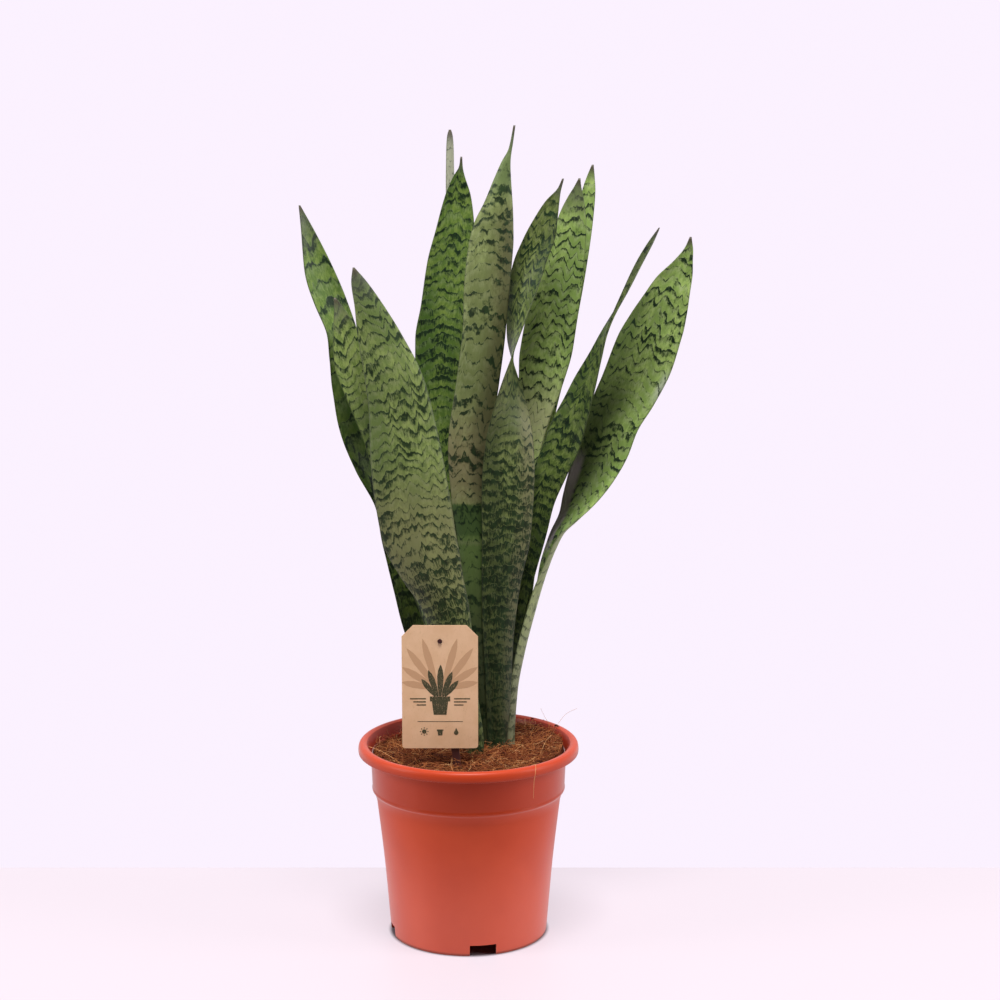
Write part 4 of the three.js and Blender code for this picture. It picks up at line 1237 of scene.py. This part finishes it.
def make_print():
    """Generic care-card print: a pale fan of blades, a dark potted plant, rules and three small signs."""
    fan = [
        blade_shape((side * (2 + lean / 20), 50 - lean / 25), length, 5.4, side * lean)
        for side in (1, -1)
        for length, lean in ((37, 16), (36, 36), (28, 57), (23, 79))
    ]
    printed("card_pale_fan", fan, card_ink("pale_ink", (0.52, 0.3, 0.165), 0.3))
    dark = [pot_shape(0, 34, 8)]
    for lean, length, width in (
        (-38, 17, 4.2), (-19, 21.5, 4.6), (1, 24.5, 4.8), (21, 20.5, 4.6), (40, 16, 4.2),
    ):
        dark.append(blade_shape((lean * 0.09, 40.4), length, width, lean))
    for side in (-1, 1):
        for height, reach in ((38, 22.5), (35.6, 20), (33.2, 17.5)):
            near, far = sorted((side * 10.5, side * reach))
            dark.append(bar_shape(near, far, height, height + 0.9))
    dark += sun_shapes(-12, 13)
    dark += [pot_shape(0, 12.6, 2.6), drop_shape(12, 12.8)]
    dark.append(bar_shape(-17, 17, 20.6, 21.0))
    printed("card_dark_print", dark, card_ink("dark_olive_ink", (0.05, 0.048, 0.022), 0.4), len(fan))


def stake_plastic():
    r = Recipe("dark_stake_plastic")
    place = r.object_place()
    haze = r.noise(place, 120, 3, 0.6)
    colour = r.blend(haze, (0.035, 0.008, 0.008), (0.06, 0.018, 0.016))
    grain = r.noise(place, 2200, 2, 0.5)
    r.bump(grain, 0.00005, 0.4)
    return r.surface(colour, r.ramp(haze, 0.3, 0.7, 0.38, 0.5))


def make_stake():
    """One moulded stake with softened edges and the peg that the card hangs on."""
    half = STAKE_TOP_WIDTH / 2
    low = STAKE_FOOT_WIDTH / 2
    outline = [
        (0, -STAKE_LENGTH), (low, STAKE_POINT - STAKE_LENGTH), (half, 0), (half - 0.9, 2.5),
        (half - 2, 3.4), (2 - half, 3.4), (0.9 - half, 2.5), (-half, 0),
        (-low, STAKE_POINT - STAKE_LENGTH),
    ]
    turned = turned_shape(outline, math.radians(STAKE_LEAN), (CARD_MIDDLE, PEG_HEIGHT))
    front = CARD_BACK + SEAT
    mesh = solid_plate("label_stake_blade", turned, [], front, STAKE_THICKNESS)
    build = bmesh.new()
    build.from_mesh(mesh)
    flat = [e for e in build.edges if e.calc_face_angle(0) > 0.6]
    bmesh.ops.bevel(build, geom=flat, offset=0.45 * MM, segments=3, affect="EDGES", profile=0.5)
    peg_front = CARD_BACK - CARD_THICKNESS - PEG_REACH
    peg_back = front + 1.0
    rings = ((0.7, 0.0), (0.94, 0.12), (1.0, 0.35), (1.0, peg_back - peg_front))
    tip = build.verts.new((CARD_MIDDLE * MM, peg_front * MM, PEG_HEIGHT * MM))
    end = build.verts.new((CARD_MIDDLE * MM, peg_back * MM, PEG_HEIGHT * MM))
    loops = [
        [
            build.verts.new((x * MM, (peg_front + depth) * MM, z * MM))
            for x, z in round_ring(CARD_MIDDLE, PEG_HEIGHT, PEG_RADIUS * share, PEG_SIDES)
        ]
        for share, depth in rings
    ]
    for i in range(PEG_SIDES):
        j = (i + 1) % PEG_SIDES
        build.faces.new((tip, loops[0][i], loops[0][j]))
        for near, far in zip(loops, loops[1:]):
            build.faces.new((near[i], far[i], far[j], near[j]))
        build.faces.new((end, loops[-1][j], loops[-1][i]))
    build.to_mesh(mesh)
    build.free()
    mesh.polygons.foreach_set("use_smooth", [True] * len(mesh.polygons))
    mesh.set_sharp_from_angle(angle=math.radians(50))
    mesh.materials.append(stake_plastic())
    finish_piece(new_object("stake_with_peg", mesh), "label_stake", "label_stake")


make_camera()
make_studio()
make_table()
make_leaves()
make_pot()
make_mix()
make_strays()
make_card()
make_print()
make_stake()
